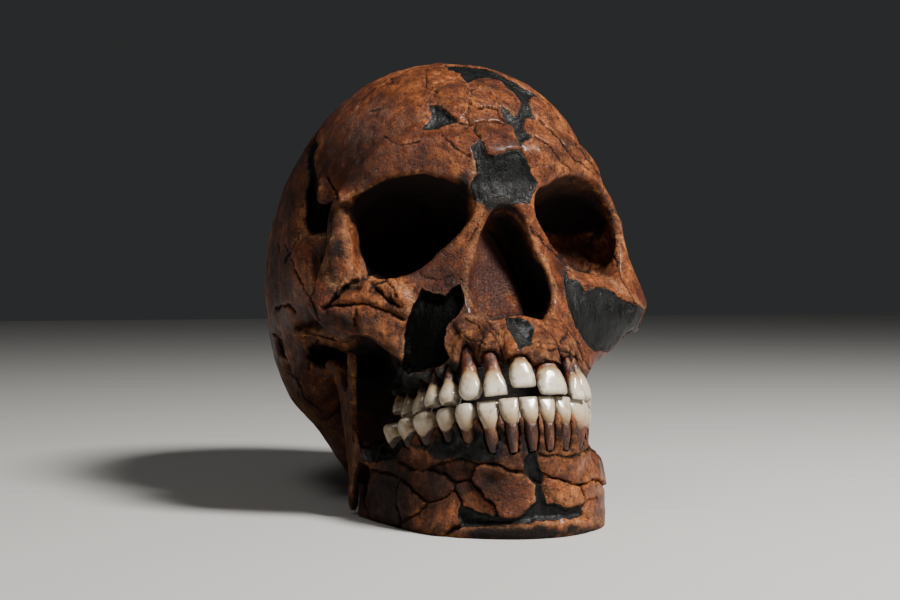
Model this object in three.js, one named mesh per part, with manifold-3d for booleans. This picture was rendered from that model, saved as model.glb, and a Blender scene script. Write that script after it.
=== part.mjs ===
// A fossil hominid skull with its lower jaw, in millimetres.
// The bones are drawn in the skull's own frame: +X to its left, +Y to its back, +Z up,
// zero midway between the two ear openings. One turn then tips the skull back to its rest.

import * as THREE from 'three';
import { ParametricGeometry } from 'three/addons/geometries/ParametricGeometry.js';
import { mergeVertices } from 'three/addons/utils/BufferGeometryUtils.js';
import Module from 'manifold-3d';

const wasm = await Module();
wasm.setup();

// Driving dimensions
const REST_TILT = THREE.MathUtils.degToRad(22.5);
const FLOOR = -66;
const REST_SHIFT = [0, 6.8, -FLOOR];
const GAP = 0.3;

const VAULT = {
  centre: [0, -1.6, 25.6],
  halfWidth: 66.6,
  front: 98.9,
  rear: 102,
  height: 81.6,
  depthFront: 46,
  depthRear: 77,
  roundness: 2.25,
  detail: 6,
};
const CAVITY = {
  centre: [0, 5, 38],
  halfWidth: 59,
  front: 86,
  rear: 87,
  height: 62,
  depthFront: 6,
  depthMiddle: 44,
  depthRear: 68,
  roundness: 2.2,
  detail: 3,
};
const TEMPLE_WAIST = 0.15;
const CROWN_WAIST = 0.04;
const UNDER_WAIST = 0.14;
const ORBIT = { centre: [33, 14], rimBack: -74, waistAt: -60, waist: 0.72, apexAt: -44, apex: 0.2 };
const ORBIT_RIM = [
  [11.5, 19], [13.5, 27], [20, 32], [30, 33.8], [42, 33.5], [51, 29], [55, 20],
  [56, 8], [53.5, -2], [46, -5.5], [36, -4.5], [27, -1], [18, 7], [12.5, 13],
];
const NOSE = { top: 20.8, halfWidth: 17, widestAt: -14, floor: -27.5, back: -52 };
const FORAMEN = { at: [0, 30], radius: 14.5 };

const BONE = { color: 0x8a4a26, roughness: 0.5, metalness: 0 };
const FILLER = { color: 0x23272a, roughness: 0.55, metalness: 0 };
const ENAMEL = { color: 0xe6dfcf, roughness: 0.25, metalness: 0 };

const at = (x, y, z) => new THREE.Vector3(x, y, z);
const { smoothstep, lerp } = THREE.MathUtils;

// Turns a closed geometry into a solid that can be joined and cut.
function solid(geometry) {
  const bare = geometry.clone();
  bare.deleteAttribute('normal');
  bare.deleteAttribute('uv');
  const merged = mergeVertices(bare, 1e-3);
  const place = merged.attributes.position.array;
  const index = merged.index.array;
  const triangles = [];
  let volume = 0;
  const corner = i => at(place[3 * i], place[3 * i + 1], place[3 * i + 2]);
  for (let i = 0; i < index.length; i += 3) {
    const [a, b, c] = [index[i], index[i + 1], index[i + 2]];
    if (a !== b && b !== c && c !== a) {
      triangles.push([a, b, c]);
      volume += corner(a).dot(corner(b).cross(corner(c)));
    }
  }
  const outward = volume > 0 ? triangles : triangles.map(t => [t[0], t[2], t[1]]);
  return new wasm.Manifold(new wasm.Mesh({
    numProp: 3,
    vertProperties: place,
    triVerts: Uint32Array.from(outward.flat()),
  }));
}

// The closed skin over a row of rings that all have the same number of points.
function skin(rings) {
  const count = rings[0].length;
  const middle = ring => {
    const centre = new THREE.Vector3();
    ring.forEach(point => centre.addScaledVector(point, 1 / count));
    return ring.map(() => centre);
  };
  const rows = [middle(rings[0]), ...rings, middle(rings[rings.length - 1])];
  const surface = (u, v, target) => {
    const row = rows[Math.round(THREE.MathUtils.clamp(v, 0, 1) * (rows.length - 1))];
    target.copy(row[Math.round(u * count) % count]);
  };
  return new ParametricGeometry(surface, count, rows.length - 1);
}

// A bar along a smooth path. Each station is [x, y, z, half width, half height].
function limb(stations, steps, sides, upright = at(0, 0, 1)) {
  const path = new THREE.CatmullRomCurve3(stations.map(s => at(s[0], s[1], s[2])));
  const sizes = new THREE.SplineCurve(stations.map(s => new THREE.Vector2(s[3], s[4])));
  const rings = [];
  for (let i = 0; i <= steps; i++) {
    const t = i / steps;
    const centre = path.getPoint(t);
    const size = sizes.getPoint(t);
    const along = path.getTangent(t);
    const side = new THREE.Vector3().crossVectors(along, upright).normalize();
    const up = new THREE.Vector3().crossVectors(side, along);
    const ring = [];
    for (let k = 0; k < sides; k++) {
      const angle = 2 * Math.PI * k / sides;
      ring.push(centre.clone()
        .addScaledVector(side, size.x * Math.cos(angle))
        .addScaledVector(up, size.y * Math.sin(angle)));
    }
    rings.push(ring);
  }
  return skin(rings);
}

// A rounded lump with half sizes [x, y, z].
function lump([x, y, z], [a, b, c], detail = 2) {
  return new THREE.IcosahedronGeometry(1, detail).scale(a, b, c).translate(x, y, z);
}

// A flat outline seen from the front, given as [x, z], made solid from y = front to y = back.
function frontCut(outline, front, back) {
  const shape = new THREE.Shape(outline.map(([x, z]) => new THREE.Vector2(x, z)));
  return new THREE.ExtrudeGeometry(shape, { depth: back - front, bevelEnabled: false, steps: 1 })
    .rotateX(Math.PI / 2)
    .scale(1, -1, 1)
    .translate(0, back, 0)
    .translate(0, front - back, 0);
}

const mirrored = stations => stations.map(([x, ...rest]) => [-x, ...rest]);
const paired = ([centre, size]) => [lump(centre, size), lump(mirrored([centre])[0], size)];
const both = (make, stations) => [make(stations), make(mirrored(stations))];
const joined = geometries => geometries.map(solid).reduce((sum, part) => sum.add(part));

// Braincase
function shellPoint(shell, d, drop) {
  const sum = [d.x, d.y, d.z].reduce((total, part) => total + Math.abs(part) ** shell.roundness, 0);
  const unit = d.clone().multiplyScalar(sum ** (-1 / shell.roundness));
  const y = shell.centre[1] + (unit.y > 0 ? shell.rear : shell.front) * unit.y;
  const z = shell.centre[2] + (unit.z > 0 ? shell.height : drop(y)) * unit.z;
  const temple = (1 - smoothstep(y, -70, -25)) * (1 - smoothstep(z, 28, 66));
  const crown = smoothstep(z, 50, 100);
  const under = (1 - smoothstep(z, -45, 0)) * smoothstep(y, 0, 40);
  const waist = 1 - TEMPLE_WAIST * temple - CROWN_WAIST * crown - UNDER_WAIST * under;
  return at(shell.halfWidth * waist * unit.x, y, z);
}

const vaultPoint = d => shellPoint(VAULT, d,
  y => lerp(VAULT.depthFront, VAULT.depthRear, smoothstep(y, -15, 50)));

function cavityPoint(d) {
  const drop = y => lerp(
    lerp(CAVITY.depthFront, CAVITY.depthMiddle, smoothstep(y, -52, -18)),
    CAVITY.depthRear, smoothstep(y, -10, 45));
  return shellPoint(CAVITY, d, drop);
}

function ball(detail, place) {
  const geometry = new THREE.IcosahedronGeometry(1, detail);
  const points = geometry.attributes.position;
  for (let i = 0; i < points.count; i++) {
    const moved = place(at(points.getX(i), points.getY(i), points.getZ(i)).normalize());
    points.setXYZ(i, moved.x, moved.y, moved.z);
  }
  return geometry;
}

// Half outlines of the face at each height, from the front midline round to the back midline
const FACE_LEVELS = [
  [-43, [[0, -98], [8, -97], [16, -93.5], [23, -87.5], [28.5, -79], [33, -69], [36.5, -59],
    [38, -50], [33, -45], [24, -43], [12, -42], [0, -42]]],
  [-36, [[0, -98], [8, -96], [16.5, -91.5], [24, -84.5], [31.5, -75], [37.5, -68], [40, -60],
    [39, -51], [33, -44], [24, -42], [12, -41], [0, -41]]],
  [-29, [[0, -98], [7, -93.5], [16, -89], [26, -82], [35, -74], [44, -69], [50, -62],
    [47, -55], [36, -49], [27, -43], [14, -39], [0, -39]]],
  [-20, [[0, -91], [8, -90.5], [17, -88], [28, -82.5], [39, -77], [51, -71], [60, -62],
    [57, -55], [43, -54], [30, -47], [16, -38], [0, -38]]],
  [-11, [[0, -89], [8, -90.5], [17, -88], [28, -82.5], [41, -78], [54, -72], [68, -61],
    [62, -54], [46, -55], [32, -47], [18, -38], [0, -38]]],
  [-3, [[0, -89], [7, -92], [15, -90], [27, -82], [40, -77.5], [54, -72], [63, -61.5],
    [59, -54], [46, -54], [34, -47], [20, -38], [0, -38]]],
  [8, [[0, -91], [6, -93.5], [12, -91.5], [24, -86], [39, -80], [54, -72.5], [59, -65],
    [56, -57], [46, -53], [36, -46], [22, -38], [0, -38]]],
  [20, [[0, -93], [6, -94], [12, -92.5], [26, -88], [41, -81], [54, -73], [58.5, -66],
    [56, -57], [46, -52], [38, -45], [22, -38], [0, -38]]],
  [32, [[0, -99.5], [8, -99.5], [16, -97], [28, -92], [42, -84], [51, -76], [56, -68],
    [53, -60], [46, -52], [38, -44], [22, -38], [0, -38]]],
  [41, [[0, -98.5], [9, -97.5], [18, -94.5], [29, -89], [39, -81], [46, -73], [49, -66],
    [47, -58], [42, -50], [34, -43], [20, -38], [0, -38]]],
];

function face() {
  return skin(FACE_LEVELS.map(([z, half]) => {
    const left = half.map(([x, y]) => at(x, y, z));
    const right = half.slice(1, -1).reverse().map(([x, y]) => at(-x, y, z));
    return [...left, ...right];
  }));
}

// Brow ridge over each orbit, ending in the pillar at its outer side
const BROW = [
  [0, -92, 34, 8, 8], [12, -93, 36, 8, 8], [28, -88.5, 40, 7, 7.5], [41, -80.5, 38, 6, 6.5],
  [49, -71, 31, 4.2, 4.8], [54, -65, 20, 4, 4],
];
const CHEEK_ARCH = [
  [56, -66, -13, 5, 7], [63, -57, -14, 3.2, 6.5], [66, -46, -12, 2.6, 5], [66, -32, -7, 2.6, 4.6],
  [62.5, -18, -2, 3.2, 4.4], [57, -4, 3, 5, 4],
];
const MASTOID = [[49, 12, -14], [10, 15, 18]];
const NUCHAL_BULGE = [[14, 52, -16], [22, 35, 33.5]];
const BASE_LUMPS = [
  [[0, -14, -16], [17, 34, 15]],
  [[38, -8, -3], [21, 20, 14]],
  [[-38, -8, -3], [21, 20, 14]],
  [[13, 15, -33], [6.5, 11, 7]],
  [[-13, 15, -33], [6.5, 11, 7]],
];
const PTERYGOID = [[15, -40, -8, 2, 7], [14.5, -41, -22, 2, 6], [14, -42, -34, 1.8, 4]];

function orbitCut(side) {
  const { centre, rimBack, waistAt, waist, apexAt, apex } = ORBIT;
  const ring = (y, size, inward) => ORBIT_RIM.map(([x, z]) => at(
    side * (centre[0] - inward + size * (x - centre[0])), y, centre[1] + size * (z - centre[1])));
  return skin([
    ring(-118, 1, 0), ring(rimBack, 1, 0), ring(waistAt, waist, 5), ring(apexAt, apex, 20),
  ]);
}

function noseCut() {
  const { top, halfWidth, widestAt, floor, back } = NOSE;
  const half = [[4, top], [7.5, top - 12], [12.5, -3], [halfWidth, widestAt], [16, -21],
    [11, floor], [0, floor + 0.6]];
  return frontCut([...half, ...half.slice(0, -1).reverse().map(([x, z]) => [-x, z])], -118, back);
}

function palateCut() {
  const half = [[0, -84], [10, -81], [17.5, -72], [21.5, -60], [23, -36], [0, -36]];
  const outline = [...half, ...half.slice(1, -1).reverse().map(([x, y]) => [-x, y])];
  const shape = new THREE.Shape(outline.map(([x, y]) => new THREE.Vector2(x, y)));
  return new THREE.ExtrudeGeometry(shape, { depth: 24, bevelEnabled: false }).translate(0, 0, -60);
}

function floorCut() {
  return new THREE.BoxGeometry(400, 400, 60)
    .translate(0, 0, FLOOR - 30)
    .rotateX(REST_TILT);
}

function craniumBody() {
  const outside = [
    ball(VAULT.detail, vaultPoint),
    face(),
    ...both(stations => limb(stations, 10, 8, at(0, 1, 0)), BROW),
    ...both(stations => limb(stations, 9, 8), CHEEK_ARCH),
    ...both(stations => limb(stations, 3, 6, at(0, 1, 0)), PTERYGOID),
    ...paired(MASTOID),
    ...paired(NUCHAL_BULGE),
    ...BASE_LUMPS.map(([centre, size]) => lump(centre, size, 1)),
  ];
  const hole = new THREE.CylinderGeometry(FORAMEN.radius, FORAMEN.radius, 50, 14)
    .rotateX(Math.PI / 2)
    .translate(FORAMEN.at[0], FORAMEN.at[1], -45);
  const cuts = [
    ball(CAVITY.detail, cavityPoint), hole, orbitCut(1), orbitCut(-1), noseCut(), palateCut(),
    floorCut(),
  ];
  return cuts.reduce((body, cut) => body.subtract(solid(cut)), joined(outside));
}

// Lower jaw. Stations go from the front midline round to the angle:
// [base x, base y, top x, top y, top z, thickness], in the frame that lies flat on the floor.
const JAW = [
  [0, -120.5, 0, -119.5, -34, 13], [10, -119, 9.5, -118.5, -34, 13],
  [22, -113, 18.5, -113.5, -35, 12.5], [32, -105, 26, -105, -37, 12],
  [37.2, -94, 32, -96, -39, 12.5], [40.5, -82, 37, -87, -40, 13],
  [43.5, -68, 41, -77, -41, 12.5], [46, -55, 43, -66, -43, 8],
];

// Cross section of the jaw body: [share of the thickness going in, share of the height]
const JAW_SECTION = [
  [0, 0], [-0.08, 0.3], [-0.05, 0.7], [0.1, 1], [0.75, 1], [1, 0.7], [0.95, 0.3], [0.75, 0],
];

function jawBody() {
  const right = JAW.slice(1).reverse().map(([a, b, c, ...rest]) => [-a, b, -c, ...rest]);
  const stations = [...right, ...JAW];
  const rings = stations.map(([bx, by, tx, ty, tz, thick], i) => {
    const before = stations[Math.max(i - 1, 0)];
    const after = stations[Math.min(i + 1, stations.length - 1)];
    const along = at(after[0] - before[0], after[1] - before[1], 0).normalize();
    const inward = at(-along.y, along.x, 0);
    return JAW_SECTION.map(([depth, level]) => {
      const x = lerp(bx, tx, level);
      const y = lerp(by, ty, level);
      return at(x, y, lerp(FLOOR - 1, tz, level)).addScaledVector(inward, depth * thick);
    });
  });
  return skin(rings).rotateX(REST_TILT);
}

// Outlines of the rami seen from the side, as [y, z] in the floor frame
const RIGHT_RAMUS = [
  [-34, -67], [-60, -67], [-64, -50], [-60, -43], [-47, -38], [-43, -29], [-47, -21], [-46, -9],
  [-40, -3.5], [-36.5, -9], [-33, -15], [-26, -15], [-21, -8], [-15.5, -7], [-15.5, -11], [-24, -17],
  [-29, -23], [-31, -34], [-32, -50],
];
const LEFT_RAMUS = [
  [-34, -67], [-60, -67], [-64, -50], [-62, -40], [-60, -28], [-56, -15], [-50, -3.5], [-45, -4],
  [-41, -13], [-33, -16], [-26, -14], [-21, -8], [-15.5, -7], [-15.5, -11], [-24, -17], [-29, -23],
  [-31, -34], [-32, -50],
];
const RAMUS_THICKNESS = 6;

function ramus(outline, side) {
  const shape = new THREE.Shape(outline.map(([y, z]) => new THREE.Vector2(y, z)));
  const plate = new THREE.ExtrudeGeometry(shape, { depth: RAMUS_THICKNESS, bevelEnabled: false })
    .rotateX(Math.PI / 2)
    .rotateZ(Math.PI / 2);
  return plate.translate(side > 0 ? 42 : -48, 0, 0).rotateX(REST_TILT);
}

const CONDYLE = [[48.5, -17, -8.5], [8.5, 4, 4]];
const CONDYLE_ROOM = 2;

const floorLump = ([x, y, z], size, grow = 0) => side =>
  lump([side * x, y, z], size.map(half => half + grow), 1).rotateX(REST_TILT);

function mandibleBody() {
  const condyle = floorLump(...CONDYLE);
  const parts = [jawBody(), ramus(RIGHT_RAMUS, -1), ramus(LEFT_RAMUS, 1), condyle(-1), condyle(1)];
  return joined(parts).subtract(solid(floorCut()));
}

// Teeth of one half of each jaw, from the midline back:
// [name, x, y, width along the arch, depth across it, crown height, length, form, shortfall]
const UPPER = [
  ['central_incisor', 4.9, -102.8, 9.3, 7, 10.5, 20, 'incisor', 0.3],
  ['lateral_incisor', 14, -98.5, 8.2, 6.5, 10, 20, 'incisor', 0],
  ['canine', 20.8, -91.2, 9, 8.5, 11, 22, 'canine', 0],
  ['first_premolar', 26, -83, 7.8, 9, 8.5, 18, 'premolar', 0],
  ['second_premolar', 29.8, -75.3, 7.5, 9, 8, 17, 'premolar', 0.8],
  ['first_molar', 33.2, -66.2, 9, 10.5, 7.5, 17, 'molar', 0],
  ['second_molar', 35.8, -56.8, 8.6, 10.5, 7, 15, 'molar', 0.8],
  ['third_molar', 37.2, -48, 7.8, 9.5, 6.5, 12, 'molar', 3.5],
];
const LOWER = [
  ['central_incisor', 3.05, -101, 5.6, 6, 9.5, 19, 'incisor', 0],
  ['lateral_incisor', 9.7, -99.3, 6.8, 6.3, 9.5, 19, 'incisor', 0],
  ['canine', 16.3, -95, 7.8, 7.8, 10.5, 21, 'canine', 0],
  ['first_premolar', 22.1, -87.6, 8.3, 8, 9, 18, 'premolar', 0],
  ['second_premolar', 26.5, -79.8, 8, 8.6, 8, 17, 'premolar', 0],
  ['first_molar', 30.7, -70.3, 10.6, 10.5, 7.5, 16, 'molar', 0],
  ['second_molar', 34.2, -59.6, 10, 10.2, 7, 15, 'molar', 0],
  ['third_molar', 36.8, -49.2, 8.8, 10, 7, 13, 'molar', 0],
];
// Teeth that sit off their mirrored place, by [sideways, back, up]
const SHIFTED = {
  upper_right_central_incisor: [0, 0, 2.4],
  upper_left_central_incisor: [0.3, 0, -0.6],
  upper_left_lateral_incisor: [1, 0.3, -0.6],
};
const BITE = { z: -59.9, y: -103, rise: 0.135, upperRoom: 0.8, lowerRoom: 0.6 };
const ROOT_LEAN = 0.3;

// Rings down a tooth: [how far along crown then root, half width share, half depth share]
const TOOTH_FORMS = {
  incisor: [[0, 0.47, 0.12], [0.4, 0.5, 0.32], [1, 0.42, 0.46], [2, 0.2, 0.26]],
  canine: [[0, 0.18, 0.16], [0.35, 0.5, 0.4], [1, 0.42, 0.48], [2, 0.2, 0.27]],
  premolar: [[0, 0.34, 0.34], [0.4, 0.5, 0.5], [1, 0.42, 0.46], [2, 0.22, 0.26]],
  molar: [[0, 0.4, 0.4], [0.4, 0.5, 0.5], [1, 0.45, 0.47], [2, 0.28, 0.3]],
};

// A tooth with its root. Grown by a gap, it gives the socket that it sits in.
function tooth(row, side, jaw, moved, grow) {
  const [, x, y, width, depth, crown, length, form, shortfall] = row;
  const upper = jaw === 'upper';
  const bite = BITE.z + BITE.rise * (y - BITE.y);
  const tip = at(side * x, y, upper ? bite + BITE.upperRoom + shortfall : bite - BITE.lowerRoom)
    .add(at(...moved));
  const arch = Math.atan2(x / 1.35, -y - 62);
  const outward = at(side * Math.sin(arch), -Math.cos(arch), 0);
  const along = at(-outward.y, outward.x, 0);
  const root = at(0, 0, upper ? 1 : -1).addScaledVector(outward, -ROOT_LEAN * (upper ? 1 : 0.45))
    .normalize();
  const forms = TOOTH_FORMS[form];
  const rings = forms.map(([step, across, through], i) => {
    const last = i === forms.length - 1;
    const reach = step <= 1 ? step * crown : crown + (step - 1) * (length - crown);
    const centre = tip.clone().addScaledVector(root, reach + (last ? grow : 0));
    const ring = [];
    for (let k = 0; k < 8; k++) {
      const angle = Math.PI * (k + 0.5) / 4;
      ring.push(centre.clone()
        .addScaledVector(along, (width * across + grow) * Math.cos(angle) / Math.cos(Math.PI / 8))
        .addScaledVector(outward, (depth * through + grow) * Math.sin(angle) / Math.cos(Math.PI / 8)));
    }
    return ring;
  });
  return skin(rings);
}

const SIDES = [['right', -1], ['left', 1]];

function everyTooth(rows, jaw, make) {
  return rows.flatMap(row => SIDES.map(([word, side]) => make(`${jaw}_${word}_${row[0]}`, row, side)));
}

// Plugs of dark filler: an outline seen from the front as [x, z], how far forward and back the
// gap in the bone reaches, the turn of the direction of view about X, and the bone it is set in.
const FORWARD = -135;
const FILLERS = {
  glabella_filler: {
    bone: 'cranium', turn: 0, back: -86,
    outline: [[-10.5, 31], [-8.5, 37], [-4, 40.5], [-1, 35.5], [6, 36], [10.5, 34], [12.3, 28],
      [9.5, 20], [3, 20], [-3, 20], [-8.5, 21]],
  },
  forehead_filler: {
    bone: 'cranium', turn: 45, back: -73,
    outline: [[-6, 6], [11, 6], [10.5, -19], [20, -25], [31, -20], [21, -33], [18.5, -45],
      [14, -48], [9, -57], [6, -53], [3.3, -47], [5, -43], [10, -46], [13.5, -38], [12.5, -30],
      [8.5, -24.5], [1.6, -24.5], [-5, -29]],
  },
  forehead_small_filler: {
    bone: 'cranium', turn: 45, back: -70,
    outline: [[-24, -36.5], [-20, -39.5], [-12.5, -50], [-20, -49], [-26, -48], [-22.5, -42.5]],
  },
  left_cheek_filler: {
    bone: 'cranium', turn: 0, back: -66,
    outline: [[24.5, -5.5], [43.5, -10], [55, -13], [63, -17], [56, -25], [36, -33.5], [30, -28],
      [24, -15]],
  },
  right_cheek_filler: {
    bone: 'cranium', turn: 0, back: -64,
    outline: [[-38, -10.5], [-28, -10.5], [-19, -9.5], [-17.5, -20], [-24, -26], [-22, -34],
      [-21, -46], [-50, -46], [-39, -32], [-38, -20]],
  },
  nasal_floor_filler: {
    bone: 'cranium', turn: 0, back: -90,
    outline: [[-6.5, -26], [-1.5, -26], [4, -33], [2.5, -39], [-1.5, -40.5], [-5, -34]],
  },
  jaw_front_filler: {
    bone: 'mandible', turn: -22.5, back: -113,
    outline: [[-30, -55.5], [-12, -57], [6, -57.5], [24, -56], [29, -57], [24, -60], [6, -61.5],
      [-12, -61], [-27, -60]],
  },
  right_jaw_angle_filler: {
    bone: 'mandible', turn: -22.5, back: -52,
    outline: [[-41.6, -34], [-35, -36], [-39, -47], [-41.6, -49]],
  },
};

// An outline drawn in by the given distance
function drawnIn(outline, by) {
  const points = outline.map(([x, z]) => new THREE.Vector2(x, z));
  const turning = THREE.ShapeUtils.isClockWise(points) ? -1 : 1;
  return points.map((point, i) => {
    const before = points[(i + points.length - 1) % points.length];
    const after = points[(i + 1) % points.length];
    const inward = edge => new THREE.Vector2(-edge.y, edge.x).multiplyScalar(turning);
    const a = inward(point.clone().sub(before).normalize());
    const b = inward(after.clone().sub(point).normalize());
    const middle = a.clone().add(b).normalize();
    const reach = by / Math.max(middle.dot(a), 0.4);
    return [point.x + middle.x * reach, point.y + middle.y * reach];
  });
}

function plug({ outline, turn, back }, by) {
  const pivot = turn > 0 ? VAULT.centre : [0, 0, 0];
  return frontCut(drawnIn(outline, by), FORWARD, back - by)
    .rotateX(-THREE.MathUtils.degToRad(turn))
    .translate(...pivot);
}

function show(name, body, look) {
  const mesh = body.getMesh();
  const geometry = new THREE.BufferGeometry();
  geometry.setAttribute('position', new THREE.BufferAttribute(mesh.vertProperties, 3));
  geometry.setIndex(new THREE.BufferAttribute(mesh.triVerts, 1));
  geometry.computeVertexNormals();
  const node = new THREE.Mesh(geometry, new THREE.MeshStandardMaterial(look));
  node.name = name;
  return node;
}

const bones = { cranium: craniumBody(), mandible: mandibleBody() };
const condyleRoom = floorLump(...CONDYLE, CONDYLE_ROOM);
bones.cranium = bones.cranium.subtract(solid(condyleRoom(-1))).subtract(solid(condyleRoom(1)));

const skull = new THREE.Group();
skull.rotation.x = -REST_TILT;
skull.position.set(...REST_SHIFT);

const sockets = { upper: [], lower: [] };
for (const [jaw, rows] of [['upper', UPPER], ['lower', LOWER]]) {
  everyTooth(rows, jaw, (name, row, side) => {
    const moved = SHIFTED[name] ?? [0, 0, 0];
    skull.add(show(name, solid(tooth(row, side, jaw, moved, 0)), ENAMEL));
    sockets[jaw].push(solid(tooth(row, side, jaw, moved, GAP)));
  });
}
bones.cranium = sockets.upper.reduce((body, socket) => body.subtract(socket), bones.cranium);
bones.mandible = sockets.lower.reduce((body, socket) => body.subtract(socket), bones.mandible);

for (const [name, filler] of Object.entries(FILLERS)) {
  const bone = bones[filler.bone];
  skull.add(show(name, bone.intersect(solid(plug(filler, GAP))), FILLER));
  bones[filler.bone] = bone.subtract(solid(plug(filler, 0)));
}
skull.add(show('cranium', bones.cranium, BONE));
skull.add(show('mandible', bones.mandible, BONE));

const group = new THREE.Group();
group.add(skull);
export default group;
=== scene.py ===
"""A fossil hominid skull with its lower jaw, pieced together from fragments with dark filler.

Bone is shaped in the skull's own frame in millimetres: +X to its left, +Y to its back, +Z up,
zero midway between the ear openings. The last step of each piece turns it into its resting
place, in metres.
"""

import math

import bpy
import numpy as np
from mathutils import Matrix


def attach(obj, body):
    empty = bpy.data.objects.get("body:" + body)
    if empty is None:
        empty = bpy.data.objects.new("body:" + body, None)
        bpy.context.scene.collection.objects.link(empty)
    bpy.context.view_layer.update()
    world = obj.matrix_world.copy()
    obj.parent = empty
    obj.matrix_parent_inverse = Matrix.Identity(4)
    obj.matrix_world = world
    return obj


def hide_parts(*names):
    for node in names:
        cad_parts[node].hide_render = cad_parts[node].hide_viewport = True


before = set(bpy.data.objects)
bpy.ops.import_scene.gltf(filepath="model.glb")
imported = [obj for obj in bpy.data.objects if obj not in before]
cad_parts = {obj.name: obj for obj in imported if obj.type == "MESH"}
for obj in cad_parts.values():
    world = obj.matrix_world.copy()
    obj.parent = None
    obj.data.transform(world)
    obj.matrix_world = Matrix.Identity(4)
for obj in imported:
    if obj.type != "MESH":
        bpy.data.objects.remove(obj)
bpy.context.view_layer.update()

import openvdb
from mathutils import Vector

# Resting place
REST_TILT = math.radians(22.5)
REST_SHIFT = np.array([0.0, 6.8, 66.0])
FLOOR = -66.0
MM = 0.001

# Camera: place in the frame that lies flat on the floor, turn, rise and lens
CAMERA_AT = np.array([-201.3, -637.3, 26.6])
CAMERA_TURN = math.radians(-18.0)
CAMERA_RISE = math.radians(1.0)
LENS_PIXELS = 1600.0
PICTURE = (900, 600)
SENSOR = 36.0

# Braincase
VAULT_CENTRE = (-1.6, 25.6)
VAULT_HALF_WIDTH = 66.6
VAULT_FRONT = 98.9
VAULT_REAR = 102.0
VAULT_HEIGHT = 81.6
VAULT_DEPTH_FRONT = 46.0
VAULT_DEPTH_REAR = 77.0
VAULT_ROUNDNESS = 2.25
TEMPLE_WAIST = 0.15
CROWN_WAIST = 0.04
UNDER_WAIST = 0.14

# Hollow of the braincase
HOLLOW_CENTRE = (5.0, 38.0)
HOLLOW_HALF_WIDTH = 59.0
HOLLOW_FRONT = 86.0
HOLLOW_REAR = 87.0
HOLLOW_HEIGHT = 62.0
HOLLOW_ROUNDNESS = 2.2

# Lumps and hollows of the right side, by the pixel they show at: half sizes across, along and up the view
KNOBS = [((337, 254), (4.6, 4, 11)), ((341, 199), (3.0, 4, 2.2)), ((321, 190), (2.6, 2.6, 5))]
HOLLOWS = [((347, 209), (2.0, 5, 1.8)), ((317, 262), (2.6, 4, 10)), ((328, 354), (9, 12, 5.2)),
           ((281, 348), (1.4, 6, 4.5)), ((289, 369), (1.8, 4, 1.8)), ((350, 290), (6, 3, 1.5)),
           ((360, 281), (5, 3, 1.2)), ((386, 374), (8, 12, 5.5)), ((372, 366), (7, 14, 6.5)),
           ((377, 293), (2.0, 2.0, 2.2)), ((392, 302), (2.2, 2.0, 2.2))]
JAW_HOLLOWS = [((366, 480), (2.2, 3, 11))]
# Broken holes of the right side: outline and middle in pixels, then the depths from and to which they
# are cut
HOLES = [
    ([(309, 199), (313, 192), (317, 200), (322, 205), (330, 203), (337, 200), (339, 207), (335, 214),
      (338, 222), (333, 230), (325, 231), (317, 234), (310, 231), (307.5, 222), (309, 210)], (322, 217), -8,
     13),
    ([(313, 141), (317, 142), (315, 150), (312, 160), (314, 172), (317, 186), (317, 203), (309, 203),
      (310, 190), (307, 176), (307, 160), (309, 148)], (312, 172), -6, 1.6),
    ([(346, 346), (358, 335), (365, 336), (373, 339), (384, 349), (395, 357), (403, 360), (405, 368),
      (402, 376), (392, 396), (376, 426), (352, 436)], (390, 338), -20, 9),
    ([(347, 345), (358, 335), (365, 336), (373, 339), (384, 349), (395, 357), (400, 360), (397, 368),
      (384, 372), (366, 372), (350, 366)], (390, 338), -20, 20),
]

# Distances to a surface are kept up to this value
FAR = 15.0
# How deep in the view a surface is looked for
VIEW_DEPTHS = np.arange(480.0, 760.0, 0.5)

# Mesh of the bones: how flat a part is before its triangles are joined, and lengths of their edges on
# the inside of the braincase, on the face, elsewhere on the cranium, on the jaw and at a crack or gap
FLATNESS = 0.09
INSIDE_EDGE = 5.5
FACE_EDGE = 1.55
BACK_EDGE = 2.4
JAW_EDGE = 1.4
CRACK_EDGE = 0.68
CRACK_EDGE_GROWTH = 0.75
# How far off the surface a line of sight starts
SIGHT_START = 3.0
# Points this near the rim of a gap lie on it
ON_RIM = 0.06
NEAR_RIM = 0.4


def turned(points, angle):
    """Points turned about the X axis."""
    c, s = math.cos(angle), math.sin(angle)
    p = np.asarray(points, float)
    return np.stack([p[..., 0], c * p[..., 1] - s * p[..., 2], s * p[..., 1] + c * p[..., 2]], -1)


def to_floor(points):
    return turned(points, -REST_TILT)


def from_floor(points):
    return turned(points, REST_TILT)


def to_world(points):
    return (to_floor(points) + REST_SHIFT) * MM


def photo(points):
    """Where points of the skull land in the picture, in pixels, and how far they are."""
    p = to_floor(points) - CAMERA_AT
    c, s = math.cos(-CAMERA_TURN), math.sin(-CAMERA_TURN)
    x = c * p[..., 0] - s * p[..., 1]
    y = s * p[..., 0] + c * p[..., 1]
    z = p[..., 2]
    c, s = math.cos(CAMERA_RISE), math.sin(CAMERA_RISE)
    y, z = c * y - s * z, s * y + c * z
    across = PICTURE[0] / 2 + LENS_PIXELS * x / y
    down = PICTURE[1] / 2 - LENS_PIXELS * z / y
    return np.stack([across, down], -1), y


def step_up(value, start, end):
    t = np.clip((value - start) / (end - start), 0.0, 1.0)
    return t * t * (3.0 - 2.0 * t)


def mix(a, b, t):
    return a + (b - a) * t


# Solid shapes as fields of distance


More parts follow.
